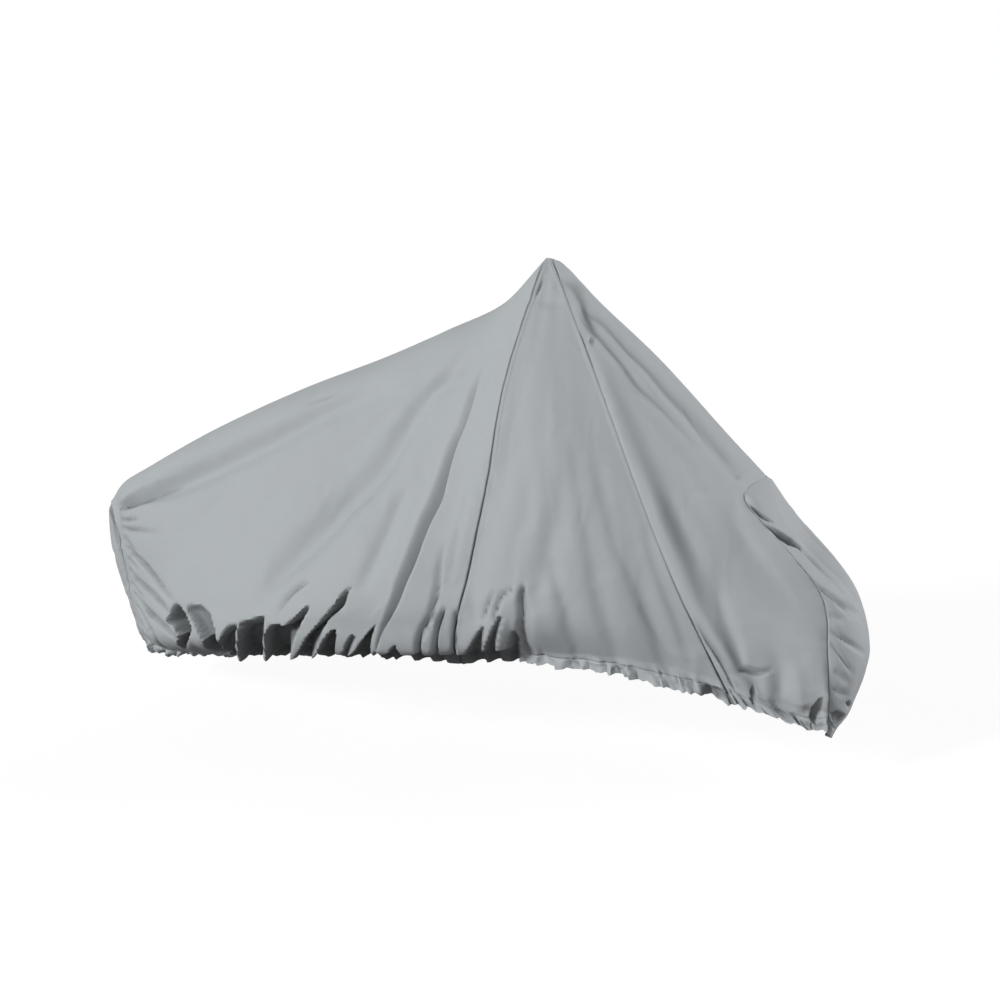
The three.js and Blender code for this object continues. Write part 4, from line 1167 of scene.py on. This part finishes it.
def rgb(name, description, default):
    """A colour that a user may change."""
    return FloatVectorProperty(name=name, description=description, default=default, subtype="COLOR")


def degrees(name, description, default):
    """An angle that a user may change, whose default is given in degrees."""
    return FloatProperty(
        name=name, description=description, default=math.radians(default), unit="ROTATION"
    )


def real(name, description, default):
    """A strength or share that a user may change."""
    return FloatProperty(name=name, description=description, default=default)


def whole(name, description, default):
    """A number of columns that a user may change."""
    return IntProperty(name=name, description=description, default=default)


class CoverForm(bpy.types.PropertyGroup):
    thickness: metres("Cloth", "Thickness of the cloth", 0.0012, 4)
    rear_columns: whole("Rear columns", "Columns of the rear panel", 174)
    gore_columns: whole("Gore columns", "Columns of each gore", 112)
    front_columns: whole("Front columns", "Columns of the front panel", 150)
    nose_columns: whole("Nose columns", "Columns of the nose gusset", 110)
    back_columns: whole("Back columns", "Columns of the back gusset", 60)


class CoverFinish(bpy.types.PropertyGroup):
    # The panels are of one cloth: their slightly different colours are painted light, tuned to how brightly
    # each is lit.
    rear_cloth: rgb("Rear cloth", "Colour of the rear panel", (0.352, 0.375, 0.388))
    gore_cloth: rgb("Gore cloth", "Colour of the gores", (0.352, 0.372, 0.386))
    front_cloth: rgb("Front cloth", "Colour of the front panel", (0.368, 0.388, 0.402))
    gusset_cloth: rgb("Gusset cloth", "Colour of the gussets", (0.345, 0.365, 0.38))
    # Brightness that the painted shade leaves where it is darkest.
    painted_shade_brightness: real("Turned in", "Brightness of the cloth deep in the gathers", 0.36)
    roughness: real("Roughness", "Middle roughness of the coated cloth", 0.66)
    sheen: real("Sheen", "Faint sheen of the fibres", 0.12)
    patchiness: real("Patchiness", "How much the tone varies", 0.06)
    thread_pitch: metres("Thread pitch", "Distance between two threads", 0.0009, 5)
    thread_height: metres("Thread height", "Height of the threads", 0.00006, 6)
    crumple_height: metres("Crumple height", "Height of the soft crumples", 0.0011, 5)


class CoverStage(bpy.types.PropertyGroup):
    floor: metres("Floor", "Height of the floor below the peak", -1.351)
    target: FloatVectorProperty(
        name="Target", description="Point that the camera looks at", unit="LENGTH",
        default=(-0.1414, 0, -0.6808),
    )
    azimuth: degrees("Azimuth", "Turn of the camera round the cover, from its right side to the nose", 20)
    elevation: degrees("Elevation", "Angle of the camera above level", 16.5)
    distance: metres("Distance", "From the target to the camera", 4.5)
    lens: real("Lens", "Focal length in millimetres", 57.91)
    key: real("Key light", "Strength of the soft key light", 2.5)
    fill: real("Fill light", "Strength of the level light on the nose", 2.2)
    sky: real("Sky light", "Strength of the level light from all round", 1.0)


def sew(context, node, slot, grid, hems):
    """Makes the cloth that stands for one CAD node, and keeps its hems for the stitches."""
    HEM_GRIDS[node] = hems
    piece = cloth_object(f"{node}_cloth", grid)
    thicken(piece, context.scene.cover_form.thickness)
    piece.data.materials.append(cover_material(context, slot))
    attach(piece, "root")
    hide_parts(node)


def both_hems(grid):
    """Both halves of a panel that lies over the ridge, each with its hem last."""
    middle = grid.shape[1] // 2
    return [grid[:, middle::-1], grid[:, middle:]]


class COVER_OT_rear_panel(bpy.types.Operator):
    """Sews the rear panel, which lies over the ridge behind the peak"""

    bl_idname = "cover.rear_panel"
    bl_label = "Rear Panel"

    def execute(self, context):
        columns = context.scene.cover_form.rear_columns
        places = even_places(0, REAR_SEAM, columns, REAR_SPACING, PLEAT_PLACE)
        grid = saddle_grid(places, REAR_SEAM, ("back", WIDE), ("rear", WIDE))
        sew(context, "rear_panel", "rear_cloth", grid, both_hems(grid))
        return {"FINISHED"}


class COVER_OT_gores(bpy.types.Operator):
    """Sews the two gores, which hang from the peak on both sides"""

    bl_idname = "cover.gores"
    bl_label = "Gores"

    def execute(self, context):
        places = even_places(REAR_SEAM, FORE_SEAM, context.scene.cover_form.gore_columns)
        for node, side in (("gore_right", RIGHT), ("gore_left", LEFT)):
            grid = turned_hem(*side_cloth(places, REAR_SEAM, side, ("rear", TIGHT), ("fore", TIGHT)))
            sew(context, node, "gore_cloth", grid, [grid])
        return {"FINISHED"}


class COVER_OT_front_panel(bpy.types.Operator):
    """Sews the front panel, which lies over the ridge in front of the peak"""

    bl_idname = "cover.front_panel"
    bl_label = "Front Panel"

    def execute(self, context):
        places = even_places(FORE_SEAM, NOSE, context.scene.cover_form.front_columns)
        grid = saddle_grid(places, FORE_SEAM, ("fore", WIDE), ("nose", WIDE))
        sew(context, "front_panel", "front_cloth", grid, both_hems(grid))
        return {"FINISHED"}


class COVER_OT_gussets(bpy.types.Operator):
    """Sews the rounded gussets round the back and the nose"""

    bl_idname = "cover.gussets"
    bl_label = "Gussets"

    def execute(self, context):
        form = context.scene.cover_form
        stations = row_stations(FORE_SEAM, RIGHT_ROWS)
        stations = np.concatenate([[CROWN], stations[stations > CROWN]])
        for end, place, middle, folds, slits, columns, seed in (
            ("nose", NOSE, NOSE_MIDDLE, NOSE_FOLDS, NOSE_SLITS, form.nose_columns, 201),
            ("back", 0, BACK_MIDDLE, BACK_FOLDS, [], form.back_columns, 211),
        ):
            grid = gusset_grid(place, middle, folds, slits, end, columns, stations, seed)
            sew(context, f"{end}_gusset", "gusset_cloth", grid, [grid])
        return {"FINISHED"}


def stitch_line(grid, height):
    """The row of a cloth's grid that lies this high above its hem, from end to end."""
    rows = grid[:, ::-1, :3]
    run = arc_lengths(rows, 1)
    run = run - run[:, TURNED_ROWS + 1:TURNED_ROWS + 2]
    row = int(np.argmin(np.abs(run.mean(axis=0) - height)))
    return rows[:, row]


def add_stitches(bm, line, inside):
    """Adds one long stitch after another along a line of points in millimetres."""
    length = arc_lengths(line[:, None], 0)[:, 0]
    starts = np.arange(STITCH_PITCH, length[-1] - STITCH_PITCH, STITCH_PITCH)
    at, ahead = (
        np.stack([np.interp(starts + step, length, line[:, axis]) for axis in range(3)], axis=1)
        for step in (0, 2)
    )
    size = Matrix.Diagonal((*(Vector(STITCH_SIZE) * MM), 1))
    for middle, onward in zip(at, ahead):
        along = Vector(onward - middle).normalized()
        away = Vector(middle - inside)
        away = (away - along * away.dot(along)).normalized()
        turn = Matrix((along, along.cross(away), away)).transposed().to_4x4()
        place = Matrix.Translation((Vector(middle) + away * STITCH_LIFT) * MM)
        bmesh.ops.create_icosphere(bm, subdivisions=1, radius=0.5, matrix=place @ turn @ size)


class COVER_OT_stitches(bpy.types.Operator):
    """Sews the row of long stitches that closes the folded hem all round"""

    bl_idname = "cover.stitches"
    bl_label = "Stitches"

    def execute(self, context):
        bm = bmesh.new()
        for name in ("rear_panel", "front_panel", "gore_right", "gore_left", "nose_gusset", "back_gusset"):
            for grid in HEM_GRIDS[name]:
                inside = np.array([grid[..., 0].mean(), 0, grid[..., 2].min() + 200])
                add_stitches(bm, stitch_line(grid, CASING + 2), inside)
        if not bm.faces:
            raise RuntimeError("no hem was found for the stitches")
        for face in bm.faces:
            face.smooth = True
        piece = new_object("hem_stitches", bm)
        piece.data.materials.append(thread_material(context.scene.cover_finish))
        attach(piece, "root")
        return {"FINISHED"}


class COVER_OT_stage(bpy.types.Operator):
    """Makes the pale floor, the soft lights and the camera"""

    bl_idname = "cover.stage"
    bl_label = "Stage"

    def execute(self, context):
        stage = context.scene.cover_stage
        context.scene.view_settings.view_transform = "Standard"
        make_floor(stage)
        make_sky(context, stage.sky)
        make_lights(context, stage)
        make_camera(context, stage)
        return {"FINISHED"}


def make_floor(stage):
    """A wide pale floor."""
    bm = bmesh.new()
    bmesh.ops.create_grid(bm, x_segments=8, y_segments=8, size=30.0)
    bmesh.ops.translate(bm, verts=bm.verts, vec=(0, 0, stage.floor))
    floor = new_object("floor", bm)
    material, tree, shader = new_material("pale floor")
    tone = mottled(tree, 1.5, 0.90, 0.92)[1]
    fill(tree, shader, {"Base Color": tone, "Roughness": 0.9, "Specular IOR Level": 0.1})
    show_pale(tree, shader, tone)
    floor.data.materials.append(material)


def show_pale(tree, shader, tone):
    """The floor looks pale with a faint shadow, and throws little light up under the hem."""
    light_path = shader_node(tree, "ShaderNodeLightPath", (-200, 400))
    glow = shader_node(tree, "ShaderNodeEmission", (100, 300), {"Strength": FLOOR_GLOW, "Color": tone})
    lit = shader_node(tree, "ShaderNodeMixShader", (400, 200), {
        "Fac": FLOOR_GLOW_SHARE, 1: shader.outputs["BSDF"], 2: glow.outputs["Emission"],
    })
    dim = shader_node(tree, "ShaderNodeBsdfDiffuse", (100, -300), {"Color": FLOOR_UNDER})
    seen = shader_node(tree, "ShaderNodeMixShader", (650, 0), {
        "Fac": light_path.outputs["Is Camera Ray"], 1: dim.outputs["BSDF"], 2: lit.outputs["Shader"],
    })
    fill(tree, tree.nodes["Material Output"], {"Surface": seen.outputs["Shader"]})


def make_sky(context, sky):
    """Level light from all round with little from above, seen as an even white."""
    world = bpy.data.worlds.new("studio")
    context.scene.world = world
    world.use_nodes = True
    tree = world.node_tree
    direction = shader_node(tree, "ShaderNodeTexCoord", (-900, -200))
    parts = shader_node(tree, "ShaderNodeSeparateXYZ", (-700, -200), {0: direction.outputs["Generated"]})
    level = shader_node(tree, "ShaderNodeMapRange", (-500, -200), {
        "Value": parts.outputs["Z"], "From Min": SKY_HEIGHTS[0], "From Max": SKY_HEIGHTS[1],
        "To Min": sky, "To Max": sky * SKY_ABOVE,
    })
    light_path = shader_node(tree, "ShaderNodeLightPath", (-500, 100))
    strength = shader_node(tree, "ShaderNodeMix", (-200, 0), {
        "Factor": light_path.outputs["Is Camera Ray"], "A": level.outputs["Result"], "B": 1.0,
    }, data_type="FLOAT")
    fill(tree, tree.nodes["Background"], {
        "Color": (1.0, 1.0, 1.0, 1.0), "Strength": strength.outputs["Result"],
    })


def direction_of(azimuth, elevation):
    """The direction at an angle round from the right side towards the nose, and above level."""
    level = math.cos(elevation)
    return Vector((math.sin(azimuth) * level, -math.cos(azimuth) * level, math.sin(elevation)))


def aim(thing, place, target):
    """Puts a light or camera at its place, turned to its target."""
    thing.location = place
    thing.rotation_mode = "QUATERNION"
    thing.rotation_quaternion = (target - place).to_track_quat("-Z", "Y")


def make_lights(context, stage):
    """The soft key light from the right rear, and a broader one on the nose."""
    for name, azimuth, elevation, strength, spread in (
        ("key", -38, 28, stage.key, 12),
        ("fill", 118, 15, stage.fill, 24),
    ):
        data = bpy.data.lights.new(name, "SUN")
        data.energy = strength
        data.angle = math.radians(spread)
        light = bpy.data.objects.new(name, data)
        context.scene.collection.objects.link(light)
        aim(light, direction_of(math.radians(azimuth), math.radians(elevation)) * 5, Vector())


def make_camera(context, stage):
    """The camera at the stage's angle."""
    data = bpy.data.cameras.new("camera")
    data.lens = stage.lens
    data.sensor_width = 36
    camera = bpy.data.objects.new("camera", data)
    context.scene.collection.objects.link(camera)
    target = Vector(stage.target)
    aim(camera, target + direction_of(stage.azimuth, stage.elevation) * stage.distance, target)
    context.scene.camera = camera


class COVER_PT_sidebar(bpy.types.Panel):
    """Lists the steps of sewing the cover"""

    bl_idname = "COVER_PT_sidebar"
    bl_label = "Motorcycle Cover"
    bl_space_type = "VIEW_3D"
    bl_region_type = "UI"
    bl_category = "Cover"

    def draw(self, context):
        for operator in OPERATORS:
            self.layout.operator(operator.bl_idname)


OPERATORS = (
    COVER_OT_rear_panel,
    COVER_OT_gores,
    COVER_OT_front_panel,
    COVER_OT_gussets,
    COVER_OT_stitches,
    COVER_OT_stage,
)
GROUPS = {"cover_form": CoverForm, "cover_finish": CoverFinish, "cover_stage": CoverStage}


def register():
    for group in GROUPS.values():
        bpy.utils.register_class(group)
    for name, group in GROUPS.items():
        setattr(bpy.types.Scene, name, PointerProperty(type=group))
    for operator in OPERATORS:
        bpy.utils.register_class(operator)
    bpy.utils.register_class(COVER_PT_sidebar)


def unregister():
    bpy.utils.unregister_class(COVER_PT_sidebar)
    for operator in reversed(OPERATORS):
        bpy.utils.unregister_class(operator)
    for name, group in GROUPS.items():
        delattr(bpy.types.Scene, name)
        bpy.utils.unregister_class(group)


def main():
    register()
    bpy.ops.cover.rear_panel()
    bpy.ops.cover.gores()
    bpy.ops.cover.front_panel()
    bpy.ops.cover.gussets()
    bpy.ops.cover.stitches()
    bpy.ops.cover.stage()


if __name__ == "__main__":
    main()
